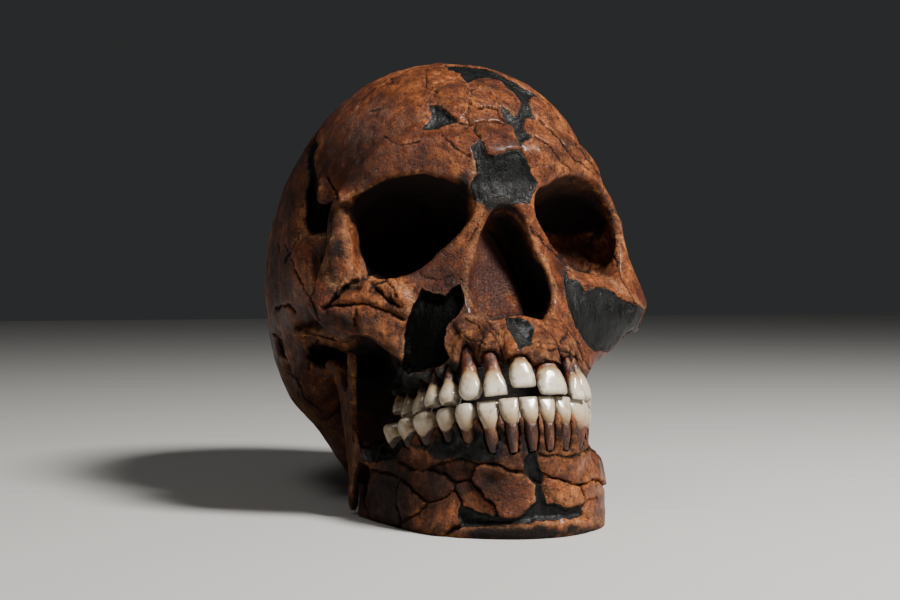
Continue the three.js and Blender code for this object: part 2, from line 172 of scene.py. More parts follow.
class Field:
    """Distances to a surface on a regular grid of points, negative inside."""

    def __init__(self, low, high, step):
        self.low = np.array(low, float)
        self.step = step
        self.count = np.ceil((np.array(high) - self.low) / step).astype(int) + 1
        self.value = np.full(self.count, FAR, np.float32)

    def grid(self):
        axes = [self.low[k] + self.step * np.arange(self.count[k]) for k in range(3)]
        return np.meshgrid(*[a.astype(np.float32) for a in axes], indexing="ij", sparse=True)

    def measure(self, rings):
        """The block that a closed skin over rings fills, and the distances in it."""
        points, faces = skin(rings)
        local = (points - self.low).astype(np.float32)
        transform = openvdb.createLinearTransform(voxelSize=self.step)
        band = FAR / self.step
        volume = openvdb.FloatGrid.createLevelSetFromPolygons(
            local, triangles=faces.astype(np.uint32), transform=transform, halfWidth=band
        )
        reach = int(band) - 1
        start = np.clip((local.min(0) / self.step).astype(int) - reach, 0, self.count - 1)
        end = np.clip((local.max(0) / self.step).astype(int) + reach + 1, 1, self.count)
        block = np.empty(end - start, np.float32)
        volume.copyToArray(block, ijk=tuple(int(v) for v in start))
        return tuple(slice(int(a), int(b)) for a, b in zip(start, end)), block

    def add(self, rings, soft):
        where, block = self.measure(rings)
        self.value[where] = soft_least(self.value[where], block, soft)

    def cut(self, rings, soft):
        where, block = self.measure(rings)
        self.value[where] = -soft_least(-self.value[where], block, soft)

    def smooth(self, rounds):
        for _ in range(rounds):
            for axis in range(3):
                v = self.value
                front = np.concatenate([v.take([0], axis), v.take(range(v.shape[axis] - 1), axis)], axis)
                back = np.concatenate([v.take(range(1, v.shape[axis]), axis), v.take([-1], axis)], axis)
                self.value = 0.5 * v + 0.25 * (front + back)

    def sample(self, points):
        q = (points - self.low) / self.step
        q = np.clip(q, 0, self.count - 1.001)
        i = q.astype(int)
        f = (q - i).astype(np.float32)
        total = np.zeros(len(points), np.float32)
        for corner in range(8):
            d = np.array([corner & 1, corner >> 1 & 1, corner >> 2 & 1])
            weight = np.prod(np.where(d, f, 1 - f), axis=1)
            j = i + d
            total += weight * self.value[j[:, 0], j[:, 1], j[:, 2]]
        return total

    def slope(self, points, reach=0.8):
        parts = []
        for axis in range(3):
            away = np.zeros(3)
            away[axis] = reach
            parts.append(self.sample(points + away) - self.sample(points - away))
        return np.stack(parts, -1) / (2 * reach)

    def settle(self, points, rounds=2):
        """Points moved on to the surface."""
        for _ in range(rounds):
            g = self.slope(points)
            size = np.maximum((g * g).sum(1), 0.2)
            points = points - np.clip(self.sample(points) / size, -1.0, 1.0)[:, None] * g
        return points

    def surface(self):
        """Points and triangles of the surface. Flat parts get larger triangles."""
        volume = openvdb.FloatGrid(FAR)
        volume.copyFromArray(np.clip(self.value, -FAR, FAR).astype(np.float32))
        volume.gridClass = "level set"
        points, triangles, quads = volume.convertToPolygons(0.0, FLATNESS)
        fours = quads.reshape(-1, 4)
        halves = [triangles.reshape(-1, 3), fours[:, [0, 1, 2]], fours[:, [0, 2, 3]]]
        faces = np.concatenate(halves).astype(int)[:, ::-1]
        return points.astype(float) * self.step + self.low, faces


def soft_least(a, b, soft):
    """The lesser of two fields, with a fillet where they meet."""
    t = np.clip(0.5 + 0.5 * (b - a) / soft, 0.0, 1.0)
    return b + (a - b) * t - soft * t * (1.0 - t)


def skin(rings):
    """Points and triangles of the closed skin over rings that all have the same number of points."""
    rings = np.asarray(rings, float)
    rows, around = rings.shape[:2]
    points = np.concatenate([rings.reshape(-1, 3), rings[:1].mean(1), rings[-1:].mean(1)])
    r, k = np.meshgrid(np.arange(rows - 1), np.arange(around), indexing="ij")
    a = r * around + k
    b = r * around + (k + 1) % around
    c, d = b + around, a + around
    quads = np.concatenate([np.stack([a, b, c], -1).reshape(-1, 3), np.stack([a, c, d], -1).reshape(-1, 3)])
    k = np.arange(around)
    first = np.stack([np.full(around, rows * around), (k + 1) % around, k], -1)
    last = np.stack([np.full(around, rows * around + 1), k, (k + 1) % around], -1)
    last[:, 1:] += (rows - 1) * around
    faces = np.concatenate([quads, first, last])
    corner = points[faces]
    volume = np.einsum("ij,ij->i", corner[:, 0], np.cross(corner[:, 1], corner[:, 2])).sum()
    if volume < 0:
        faces = faces[:, ::-1]
    return points, faces


def curve(values, fine, closed=False):
    """A smooth row through the given values."""
    v = np.asarray(values, float)
    count = len(v)
    spans = count if closed else count - 1
    t = np.arange(spans * fine) / fine if closed else np.linspace(0, spans, spans * fine + 1)
    i = np.minimum(t.astype(int), spans - 1)
    f = (t - i).reshape((-1,) + (1,) * (v.ndim - 1))

    def at(j):
        return v[j % count] if closed else v[np.clip(j, 0, count - 1)]

    p0, p1, p2, p3 = at(i - 1), at(i), at(i + 1), at(i + 2)
    return 0.5 * (
        2 * p1 + (p2 - p0) * f + (2 * p0 - 5 * p1 + 4 * p2 - p3) * f**2 + (3 * p1 - p0 - 3 * p2 + p3) * f**3
    )


def bar(stations, upright=(0, 0, 1), fine=4, around=16):
    """Rings of a bar along a smooth path. Each station is [x, y, z, half width, half height]."""
    s = curve(stations, fine)
    along = np.gradient(s[:, :3], axis=0)
    along /= np.linalg.norm(along, axis=1, keepdims=True)
    side = np.cross(along, upright)
    side /= np.linalg.norm(side, axis=1, keepdims=True)
    up = np.cross(side, along)
    angle = 2 * math.pi * np.arange(around) / around
    return (
        s[:, None, :3]
        + s[:, None, 3:4] * np.cos(angle)[None, :, None] * side[:, None, :]
        + s[:, None, 4:5] * np.sin(angle)[None, :, None] * up[:, None, :]
    )


def lump(centre, size, around=24, rows=13):
    rise = np.linspace(-math.pi / 2 + 0.05, math.pi / 2 - 0.05, rows)[:, None]
    angle = (2 * math.pi * np.arange(around) / around)[None, :]
    level = np.cos(rise)
    unit = np.stack(np.broadcast_arrays(level * np.cos(angle), level * np.sin(angle), np.sin(rise)), -1)
    return np.asarray(centre, float) + unit * np.asarray(size, float)


def plate(outline, inner, outer):
    """Rings of an upright outline carried from its inner to its outer side."""
    rings = []
    for across in np.linspace(inner, outer, 8):
        row = np.full((len(outline), 3), across)
        row[:, [1, 2]] = outline
        rings.append(row)
    return np.array(rings)


def mirrored(rings):
    return np.asarray(rings, float) * np.array([-1.0, 1.0, 1.0])


# Meshes of loose points and triangles


def refine(points, faces, wanted, share=None):
    """Splits the edges for which wanted(a, b) holds, and every triangle that has one."""
    count = len(points)
    sides = np.stack([faces, np.roll(faces, -1, axis=1)], -1)
    ordered = np.sort(sides, axis=2).reshape(-1, 2)
    key = ordered[:, 0] * count + ordered[:, 1]
    edge_key, inverse = np.unique(key, return_inverse=True)
    a, b = edge_key // count, edge_key % count
    chosen = wanted(a, b)
    if not chosen.any():
        return points, faces, False
    part = np.full(chosen.sum(), 0.5) if share is None else share(a[chosen], b[chosen])
    middle = mix(points[a[chosen]], points[b[chosen]], part[:, None])
    number = np.full(len(edge_key), -1)
    number[chosen] = count + np.arange(chosen.sum())
    middles = number[inverse].reshape(-1, 3)
    split = middles >= 0
    kinds = split.sum(1)
    made = [faces[kinds == 0]]
    for k in range(3):
        f = np.roll(faces, -k, axis=1)
        m = np.roll(middles, -k, axis=1)
        s = np.roll(split, -k, axis=1)
        one = (kinds == 1) & s[:, 0]
        made.append(np.stack([f[one, 0], m[one, 0], f[one, 2]], -1))
        made.append(np.stack([m[one, 0], f[one, 1], f[one, 2]], -1))
        two = (kinds == 2) & ~s[:, 0]
        made.append(np.stack([f[two, 2], m[two, 2], m[two, 1]], -1))
        made.append(np.stack([f[two, 0], f[two, 1], m[two, 1]], -1))
        made.append(np.stack([f[two, 0], m[two, 1], m[two, 2]], -1))
    three = kinds == 3
    f, m = faces[three], middles[three]
    made.append(m)
    for k in range(3):
        made.append(np.stack([f[:, k], m[:, k], m[:, (k + 2) % 3]], -1))
    return np.concatenate([points, middle]), np.concatenate(made), True


def refine_to(points, faces, target, settle, rounds=6):
    """Splits edges until each is no longer than target(points) at its middle."""
    for _ in range(rounds):
        length = target(points)

        def wanted(a, b):
            size = np.linalg.norm(points[a] - points[b], axis=1)
            return size > np.minimum(length[a], length[b]) * 1.35

        before = len(points)
        points, faces, changed = refine(points, faces, wanted)
        if not changed:
            break
        points[before:] = settle(points[before:])
    return points, faces


def normals(points, faces):
    p = points[faces]
    n = np.cross(p[:, 1] - p[:, 0], p[:, 2] - p[:, 0])
    total = np.zeros_like(points)
    for axis in range(3):
        total[:, axis] = sum(
            np.bincount(faces[:, k], weights=n[:, axis], minlength=len(points)) for k in range(3)
        )
    return total / np.maximum(np.linalg.norm(total, axis=1, keepdims=True), 1e-9)


def pruned(points, faces):
    """The mesh without the points that no triangle uses."""
    used, inverse = np.unique(faces, return_inverse=True)
    return points[used], inverse.reshape(-1, 3), used


# Cranium

FACE_LEVELS = [
    (-43, [(0, -98), (8, -97), (16, -93.5), (23, -87.5), (28.5, -79), (33, -69), (36.5, -59),
           (38, -50), (33, -45), (24, -43), (12, -42), (0, -42)]),
    (-36, [(0, -98), (8, -96), (16.5, -91.5), (24, -84.5), (31.5, -75), (37.5, -68), (40, -60),
           (39, -51), (33, -44), (24, -42), (12, -41), (0, -41)]),
    (-29, [(0, -98), (7, -93.5), (16, -89), (26, -82), (35, -74), (44, -69), (50, -62),
           (47, -55), (36, -49), (27, -43), (14, -39), (0, -39)]),
    (-20, [(0, -91), (8, -90.5), (17, -88), (28, -82.5), (39, -77), (51, -71), (60, -62),
           (57, -55), (43, -54), (30, -47), (16, -38), (0, -38)]),
    (-11, [(0, -89), (8, -90.5), (17, -88), (28, -82.5), (41, -78), (54, -72), (68, -61),
           (62, -54), (46, -55), (32, -47), (18, -38), (0, -38)]),
    (-3, [(0, -89), (7, -92), (15, -90), (27, -82), (40, -77.5), (54, -72), (66.5, -61.5),
          (59, -54), (46, -54), (34, -47), (20, -38), (0, -38)]),
    (8, [(0, -91), (6, -93.5), (12, -91.5), (24, -86), (39, -80), (54, -72.5), (62.2, -65),
         (56, -57), (46, -53), (36, -46), (22, -38), (0, -38)]),
    (20, [(0, -93), (6, -94), (12, -92.5), (26, -88), (41, -81), (54, -73), (59.3, -66),
          (56, -57), (46, -52), (38, -45), (22, -38), (0, -38)]),
    (32, [(0, -99.5), (8, -99.5), (16, -97), (28, -92), (42, -84), (51, -76), (56, -68),
          (53, -60), (46, -52), (38, -44), (22, -38), (0, -38)]),
    (41, [(0, -98.5), (9, -97.5), (18, -94.5), (29, -89), (39, -81), (46, -73), (49, -66),
          (47, -58), (42, -50), (34, -43), (20, -38), (0, -38)]),
]
BROW = [(0, -92, 34, 8, 8), (12, -93, 36, 8, 8), (28, -88.5, 40, 7, 7.5), (40.2, -80.5, 38, 6, 6.5),
        (46, -71, 31, 4.2, 4.8), (53, -65, 20, 4, 4)]
CHEEK_ARCH = [(56, -66, -13, 5, 7), (63, -57, -14, 3.2, 6.5), (66, -46, -12, 2.6, 5),
              (66, -32, -7, 2.6, 4.6), (62.5, -18, -2, 3.2, 4.4), (57, -4, 3, 5, 4)]
# The right cheek arch is broken: a thin spur from the ear and the stub of the cheekbone
RIGHT_SPUR = [(52, 6, 2, 6, 3.5), (60, -8, -1, 3, 2.4), (64.5, -24, -7, 1.8, 1.6), (63.5, -38, -13, 1.5, 1.3),
              (57, -49, -19.5, 1.3, 1.1), (53.5, -53, -22.5, 1.1, 1)]
RIGHT_STUB = [(52, -66, -12, 5, 7), (57, -63, -12.5, 4, 6.2), (61, -58, -12.5, 2.4, 4.6)]
PTERYGOID = [(15, -40, -8, 2, 7), (14.5, -41, -22, 2, 6), (14, -42, -34, 1.8, 4)]
MASTOID = ((49, 12, -14), (10, 15, 18))
NUCHAL_BULGE = ((14, 52, -16), (22, 35, 33.5))
BASE_LUMPS = [((0, -14, -16), (17, 34, 15)), ((38, -8, -3), (21, 20, 14)), ((-38, -8, -3), (21, 20, 14)),
              ((13, 15, -33), (6.5, 11, 7)), ((-13, 15, -33), (6.5, 11, 7))]
FORAMEN = ((0, 30), 14.5)
ORBIT_CENTRE = (33, 14)
ORBIT_RIM = [(12, 17), (14, 22), (20, 26), (30, 30.6), (42, 32), (51, 28), (56, 19.5), (57, 8),
             (54, -2), (46, -5.5), (36, -4.5), (27, -1), (18, 6), (13, 12)]
# Depth, size and inward shift of the rings of an eye socket, from the front to its apex
ORBIT_RINGS = [(-118, 1, 0), (-95, 1, 0), (-80, 1, 0), (-73, 0.97, 0.3), (-66, 0.84, 2.6), (-58, 0.64, 7),
               (-50, 0.4, 13), (-44, 0.15, 21)]
# Hollow behind the brow, in the right and in the left eye socket: centre and half size, both given as
# if on the left side
ORBIT_HOLLOWS = {-1: ((32.5, -65, 15), (16.5, 13.5, 18.5)), 1: ((35.5, -65, 14.5), (20, 13.5, 18.5))}
# Nasal opening: height, half width, how far left the inner wall of the right side runs
NOSE_LEVELS = [(14.5, 3.4, 0.5), (12, 5.6, 2.5), (8.8, 7.4, 4.5), (-3, 12.3, 8.5), (-9, 15.2, 10.5),
               (-14, 16.9, 11.5), (-21, 16, 11.5), (-25.5, 13, 9.5), (-27.5, 10, 7)]
PALATE = [(0, -84), (10, -81), (17.5, -72), (21.5, -60), (23, -36), (0, -36)]

# Left knuckle of the jaw: centre and half size, in the frame that lies flat on the floor
CONDYLE = ((48.5, -17, -8.5), (8.5, 4, 4))
CONDYLE_ROOM = 2.0


def shell(centre, half_width, front, rear, height, drop, roundness):
    """Rings of the braincase or of the hollow in it, from the bottom to the top."""
    rise = np.linspace(-math.pi / 2 + 0.03, math.pi / 2 - 0.03, 81)[:, None]
    angle = (2 * math.pi * np.arange(112) / 112)[None, :]
    level = np.cos(rise)
    d = np.stack(np.broadcast_arrays(level * np.cos(angle), level * np.sin(angle), np.sin(rise)), -1)
    unit = d * ((np.abs(d) ** roundness).sum(-1) ** (-1 / roundness))[..., None]
    y = centre[0] + np.where(unit[..., 1] > 0, rear, front) * unit[..., 1]
    z = centre[1] + np.where(unit[..., 2] > 0, height, drop(y)) * unit[..., 2]
    temple = (1 - step_up(y, -70, -25)) * (1 - step_up(z, 28, 66))
    crown = step_up(z, 50, 100)
    under = (1 - step_up(z, -45, 0)) * step_up(y, 0, 40)
    waist = 1 - TEMPLE_WAIST * temple - CROWN_WAIST * crown - UNDER_WAIST * under
    return np.stack([half_width * waist * unit[..., 0], y, z], -1)


def vault():
    def drop(y):
        return mix(VAULT_DEPTH_FRONT, VAULT_DEPTH_REAR, step_up(y, -15, 50))

    return shell(VAULT_CENTRE, VAULT_HALF_WIDTH, VAULT_FRONT, VAULT_REAR, VAULT_HEIGHT, drop, VAULT_ROUNDNESS)


def hollow():
    def drop(y):
        return mix(mix(1.0, 44.0, step_up(y, -52, -18)), 68.0, step_up(y, -10, 45))

    return shell(HOLLOW_CENTRE, HOLLOW_HALF_WIDTH, HOLLOW_FRONT, HOLLOW_REAR, HOLLOW_HEIGHT, drop,
                 HOLLOW_ROUNDNESS)


def face():
    rows = []
    for height, half in FACE_LEVELS:
        half = np.array(half, float)
        back = half[1:-1][::-1] * (-1, 1)
        flat = curve(np.concatenate([half, back]), 4, closed=True)
        rows.append(np.column_stack([flat, np.full(len(flat), float(height))]))
    return curve(rows, 6)


def orbit(side):
    rim = curve(ORBIT_RIM, 5, closed=True)
    rings = []
    for depth, size, inward in ORBIT_RINGS:
        x = ORBIT_CENTRE[0] - inward + size * (rim[:, 0] - ORBIT_CENTRE[0])
        z = ORBIT_CENTRE[1] + size * (rim[:, 1] - ORBIT_CENTRE[1])
        rings.append(np.column_stack([side * x, np.full(len(rim), depth), z]))
    return curve(rings, 3)


def nose():
    """The nasal opening. Its right wall runs back to the left and leaves a slit at the left side."""
    rows = []
    for height, half, inner in NOSE_LEVELS:
        flat = [(-half, -118), (-half, -100), (-half, -88), (mix(-half, inner, 0.5), -80.5),
                (inner - 0.5, -73.5), (inner + 0.8, -56), (half - 0.5, -56), (half, -70), (half, -87.5),
                (half, -100), (half, -118), (0, -118)]
        flat = curve(flat, 3, closed=True)
        rows.append(np.column_stack([flat, np.full(len(flat), height)]))
    return curve(rows, 4)


def in_view(x, y, z):
    """A direction given across, along and up the view, in the frame of the skull."""
    c, s = math.cos(CAMERA_RISE), math.sin(CAMERA_RISE)
    y, z = c * y + s * z, -s * y + c * z
    c, s = math.cos(CAMERA_TURN), math.sin(CAMERA_TURN)
    return from_floor(np.array([c * x - s * y, s * x + c * y, z]))


def sight(pixel):
    """The line of sight of a pixel, one millimetre deep."""
    across = (pixel[0] - PICTURE[0] / 2) / LENS_PIXELS
    down = (PICTURE[1] / 2 - pixel[1]) / LENS_PIXELS
    return in_view(across, 1, down)


def under(field, pixel):
    """How deep in the view the surface is that shows at a pixel."""
    away = field.sample(from_floor(CAMERA_AT) + VIEW_DEPTHS[:, None] * sight(pixel))
    return VIEW_DEPTHS[np.argmax(away < 0) if (away < 0).any() else np.argmin(away)]


def from_view(field, pixel, size):
    """A lump with half sizes across, along and up the view, centred on the surface under a pixel."""
    axes = np.array([in_view(*axis) for axis in np.eye(3)])
    return from_floor(CAMERA_AT) + under(field, pixel) * sight(pixel) + lump((0, 0, 0), size) @ axes


def through_view(field, outline, middle, near, far):
    """Rings of a cutter that follows an outline of pixels through the surface."""
    depth = under(field, middle)
    lines = np.array([sight(pixel) for pixel in curve(outline, 2, closed=True)])
    reaches = np.linspace(depth + near, depth + far, 9)
    return np.array([from_floor(CAMERA_AT) + reach * lines for reach in reaches])


def grown(rings, by):
    centre = rings.mean((0, 1))
    away = rings - centre
    size = np.linalg.norm(away, axis=-1, keepdims=True)
    return centre + away * (size + by) / size


def cut_floor(field):
    x, y, z = field.grid()
    c, s = math.cos(REST_TILT), math.sin(REST_TILT)
    height = c * z - s * y
    field.value = np.maximum(field.value, (FLOOR - height).astype(np.float32))


def cranium_field():
    field = Field((-77, -112, -58), (77, 108, 114), 1.1)
    field.add(vault(), 0.5)
    field.add(face(), 5)
    for flip in (np.array, mirrored):
        field.add(flip(bar(BROW, (0, 1, 0))), 6.5)
        field.add(flip(bar(PTERYGOID, (0, 1, 0))), 3)
        field.add(flip(lump(*MASTOID)), 6)
        field.add(flip(lump(*NUCHAL_BULGE)), 9)
    field.add(bar(CHEEK_ARCH), 4)
    field.add(mirrored(bar(RIGHT_STUB)), 3)
    field.add(mirrored(bar(RIGHT_SPUR)), 1.5)
    for centre, size in BASE_LUMPS:
        field.add(lump(centre, size), 6)
    field.cut(hollow(), 2)
    angle = np.linspace(0, 2 * math.pi, 24, endpoint=False)
    (x, y), radius = FORAMEN
    field.cut([np.column_stack([x + radius * np.cos(angle), y + radius * np.sin(angle), np.full(24, z)])
               for z in np.linspace(-70, -20, 8)], 3)
    for side, (centre, size) in ORBIT_HOLLOWS.items():
        field.cut(orbit(side), 0.7)
        field.cut(lump(centre, size) * (side, 1, 1), 1.5)
    field.cut(nose(), 1.2)
    palate = np.array(PALATE, float)
    flat = curve(np.concatenate([palate, palate[1:-1][::-1] * (-1, 1)]), 3, closed=True)
    field.cut([np.column_stack([flat, np.full(len(flat), z)]) for z in np.linspace(-66, -36, 6)], 3)
    for side in (-1, 1):
        (x, y, z), size = CONDYLE
        field.cut(from_floor(grown(lump((side * x, y, z), size), CONDYLE_ROOM)), 1)
    for pixel, size in KNOBS:
        field.add(from_view(field, pixel, size), 2.0)
    for pixel, size in HOLLOWS:
        field.cut(from_view(field, pixel, size), 1.0)
    for outline, middle, near, far in HOLES:
        field.cut(through_view(field, outline, middle, near, far), 0.6)
    cut_floor(field)
    return field


# Lower jaw. Stations go from the front midline round to the angle:
# base x, base y, top x, top y, top z and thickness, in the frame that lies flat on the floor
JAW = [
    (0, -120, 0, -118, -38, 13), (10, -118.5, 9.5, -117, -38, 13), (22, -112.5, 18.5, -112, -39, 12.5),
    (32, -104.5, 26, -104, -40, 12), (37.2, -93.5, 32, -95, -41, 12.5), (40.5, -82, 37, -87, -42, 13),
    (43.5, -68, 41, -77, -41.5, 12.5), (46, -57, 43, -67, -38, 9), (47.4, -50.5, 45, -58, -37, 6),
]
# How much nearer the midline the left side is than the right one, station by station, at the lower
# border and at the upper one
LEFT_BASE_IN = (0, 0.2, 1.4, 2.5, 2.4, 1.2, 1.6, 3.0, 3.6)
LEFT_TOP_IN = (0, 0, 0, 0, 0, 0.6, 1.8, 2.6, 2.8)
JAW_SECTION = [(0, 0), (-0.08, 0.3), (-0.05, 0.7), (0.1, 1), (0.75, 1), (1, 0.7), (0.95, 0.3), (0.75, 0)]
# Bone that holds the roots, from the midline back: x, y, z, half width and half height on the floor frame
ROOT_WALL = [(0, -118.6, -33.5, 3.4, 11.5), (10, -116.8, -33.5, 3.4, 11.5), (16.5, -112.3, -34, 3.4, 11),
             (24, -103, -35.5, 3.5, 10), (30.3, -90.5, -38, 3.6, 8.5), (34.6, -77, -40.5, 3.8, 7),
             (37.3, -64, -42.5, 3.6, 5.5)]
# How much nearer the midline the left part of that bone is than the right one
LEFT_WALL_IN = (0, 0, 0.8, 2.6, 4.0, 3.8, 2.2)
RIGHT_RAMUS = [
    (-46, -65), (-48, -52), (-54, -46), (-62, -43), (-54, -36), (-46.5, -31), (-46.5, -21), (-46.5, -9),
    (-44.5, -5), (-42, -4.5), (-40.5, -8), (-40, -17), (-38, -20), (-30, -15), (-21, -9.5), (-15, -9),
    (-12.5, -12.5), (-18, -15), (-24, -19), (-30, -27), (-37, -37), (-40, -48), (-43, -60),
]
LEFT_RAMUS = [
    (-44, -67), (-60, -67), (-64, -50), (-62, -40), (-60, -28), (-56, -15), (-50, -3.5), (-45, -4),
    (-41, -13), (-33, -16), (-26, -14), (-21, -8), (-15.5, -7), (-15.5, -11), (-24, -17), (-29, -23),
    (-32, -33), (-33.5, -43), (-34, -52), (-36, -60), (-39.5, -64.5),
]


def jaw_body():
    half = np.array(JAW, float)
    right = half[1:][::-1] * (-1, 1, -1, 1, 1, 1)
    half[:, 0] -= LEFT_BASE_IN
    half[:, 2] -= LEFT_TOP_IN
    stations = curve(np.concatenate([right, half]), 5)
    along = np.gradient(stations[:, :2], axis=0)
    along /= np.linalg.norm(along, axis=1, keepdims=True)
    inward = np.column_stack([-along[:, 1], along[:, 0]])
    section = curve(JAW_SECTION, 4, closed=True)
    rings = []
    for (bx, by, tx, ty, tz, thick), side in zip(stations, inward):
        depth, level = section[:, 0], section[:, 1]
        x = mix(bx, tx, level) + side[0] * depth * thick
        y = mix(by, ty, level) + side[1] * depth * thick
        rings.append(np.column_stack([x, y, mix(FLOOR - 1, tz, level)]))
    return from_floor(np.array(rings))


def ramus(outline, side, inner, outer, lean=0.0):
    """An upright branch of the jaw, whose front edge leans towards the midline."""
    rings = plate(outline, inner, outer)
    rings[..., 0] -= lean * np.clip((-20 - rings[..., 1]) / 40, 0, 1)
    return from_floor(rings * np.array([side, 1, 1]))


def jaw_field():
    field = Field((-56, -112, -120), (56, 4, 12), 0.9)
    field.add(jaw_body(), 0.5)
    field.add(ramus(RIGHT_RAMUS, -1, 46.3, 49.2), 1.2)
    field.add(from_floor(lump((-46, -57.5, -42), (3, 6, 4.5))), 2)
    field.add(ramus(LEFT_RAMUS, 1, 44.3, 48, 6.5), 3)
    half = np.array(ROOT_WALL, float)
    right = half[1:][::-1] * (-1, 1, 1, 1, 1)
    half[:, 0] -= LEFT_WALL_IN
    field.add(from_floor(bar(np.concatenate([right, half]))), 1.5)
    (x, y, z), size = CONDYLE
    field.add(from_floor(lump((x, y, z), size)), 2)
    field.add(from_floor(lump((-x + 0.8, y + 1, z - 2), (4, 3, 2.6))), 2)
    for pixel, size in JAW_HOLLOWS:
        field.cut(from_view(field, pixel, size), 1.0)
    cut_floor(field)
    return field


# Teeth of one half of each jaw, from the midline back:
# name, x, y, width along the arch, depth across it, crown height, length, form, shortfall
UPPER = [
    ("central_incisor", 4.9, -102.8, 9.3, 7, 10.5, 20, "incisor", 0.3),
    ("lateral_incisor", 14, -98.5, 8.2, 6.5, 10, 22, "incisor", 0),
    ("canine", 20.8, -91.2, 9, 8.5, 11, 25, "canine", 0),
    ("first_premolar", 26, -83, 7.8, 9, 8.5, 18, "premolar", 0),
    ("second_premolar", 29.8, -75.3, 7.5, 9, 8, 17, "premolar", 0.8),
    ("first_molar", 33.2, -66.2, 9, 10.5, 7.5, 17, "molar", 0),
    ("second_molar", 35.8, -56.8, 8.6, 10.5, 7, 15, "molar", 0.8),
    ("third_molar", 37.2, -48, 7.8, 9.5, 6.5, 12, "molar", 3.5),
]
LOWER = [
    ("central_incisor", 3.05, -101, 5.6, 6, 9.5, 19, "incisor", 0),
    ("lateral_incisor", 9.7, -99.3, 6.8, 6.3, 9.5, 19, "incisor", 0),
    ("canine", 16.3, -95, 7.8, 7.8, 10.5, 18.5, "incisor", 0),
    ("first_premolar", 22.1, -87.6, 8.3, 8, 9, 18, "premolar", 0),
    ("second_premolar", 26.5, -79.8, 8, 8.6, 8, 17, "premolar", 0),
    ("first_molar", 30.7, -70.3, 10.6, 10.5, 7.5, 16, "molar", 0),
    ("second_molar", 34.2, -59.6, 10, 10.2, 7, 15, "molar", 0),
    ("third_molar", 36.8, -49.2, 8.8, 10, 7, 13, "molar", 0),
]
# How far single teeth are moved from their place in the row
SHIFTED = {
    "upper_right_first_molar": (1.6, 0, 0),
    "upper_right_second_molar": (2.1, 0, 0),
    "upper_right_third_molar": (2.8, 0, 0),
    "upper_right_central_incisor": (-0.1, 0, 1.8),
    "upper_left_central_incisor": (0.8, -0.3, -1.1),
    "upper_left_lateral_incisor": (3.0, 0.8, -2.0),
    "upper_left_canine": (1.4, 0.8, -0.8),
    "upper_left_first_premolar": (-1.5, 0.3, 0),
    "upper_left_second_premolar": (-2.7, 0.2, 0),
    "upper_left_first_molar": (-3.1, 0, 0),
    "upper_left_second_molar": (-2.9, 0, 0),
    "upper_left_third_molar": (-2.4, 0, 0),
    "lower_left_first_premolar": (-1.9, 0.3, 0),
    "lower_left_second_premolar": (-3.0, 0, 0),
    "lower_left_first_molar": (-3.2, 0, 0),
    "lower_left_second_molar": (-2.8, 0, 0),
    "lower_left_third_molar": (-2.3, 0, 0),
    "lower_right_central_incisor": (-0.5, 0, 0),
    "lower_right_lateral_incisor": (-0.5, 0, 0),
}
# Teeth whose width along the arch and depth across it differ from their mirrored neighbour
SIZES = {
    "upper_right_central_incisor": (9.0, 7), "upper_left_central_incisor": (10.8, 7),
    "upper_left_lateral_incisor": (6.2, 6.2), "upper_left_canine": (8, 8),
    "upper_right_second_premolar": (7, 7.2), "upper_right_first_molar": (8, 7),
    "upper_right_second_molar": (7.4, 6.4), "upper_right_third_molar": (6.5, 5.6),
    "lower_right_central_incisor": (6.8, 6), "lower_right_lateral_incisor": (7.0, 6.3),
    "lower_left_central_incisor": (6.2, 6), "lower_left_lateral_incisor": (6.6, 6.3),
    "lower_left_canine": (8.8, 8),
}
# Teeth with an unusual crown
FORMS = {"upper_right_central_incisor": "square", "upper_left_central_incisor": "square",
         "lower_right_first_premolar": "stout", "lower_right_second_premolar": "stout"}
# Height of the bite, where along the skull it has that height, and its slope
BITE = (-59.9, -103, 0.135)
# Room between the bite and the tips of the teeth
UPPER_ROOM = 0.8
LOWER_ROOM = 0.6
ROOT_LEAN = 0.3
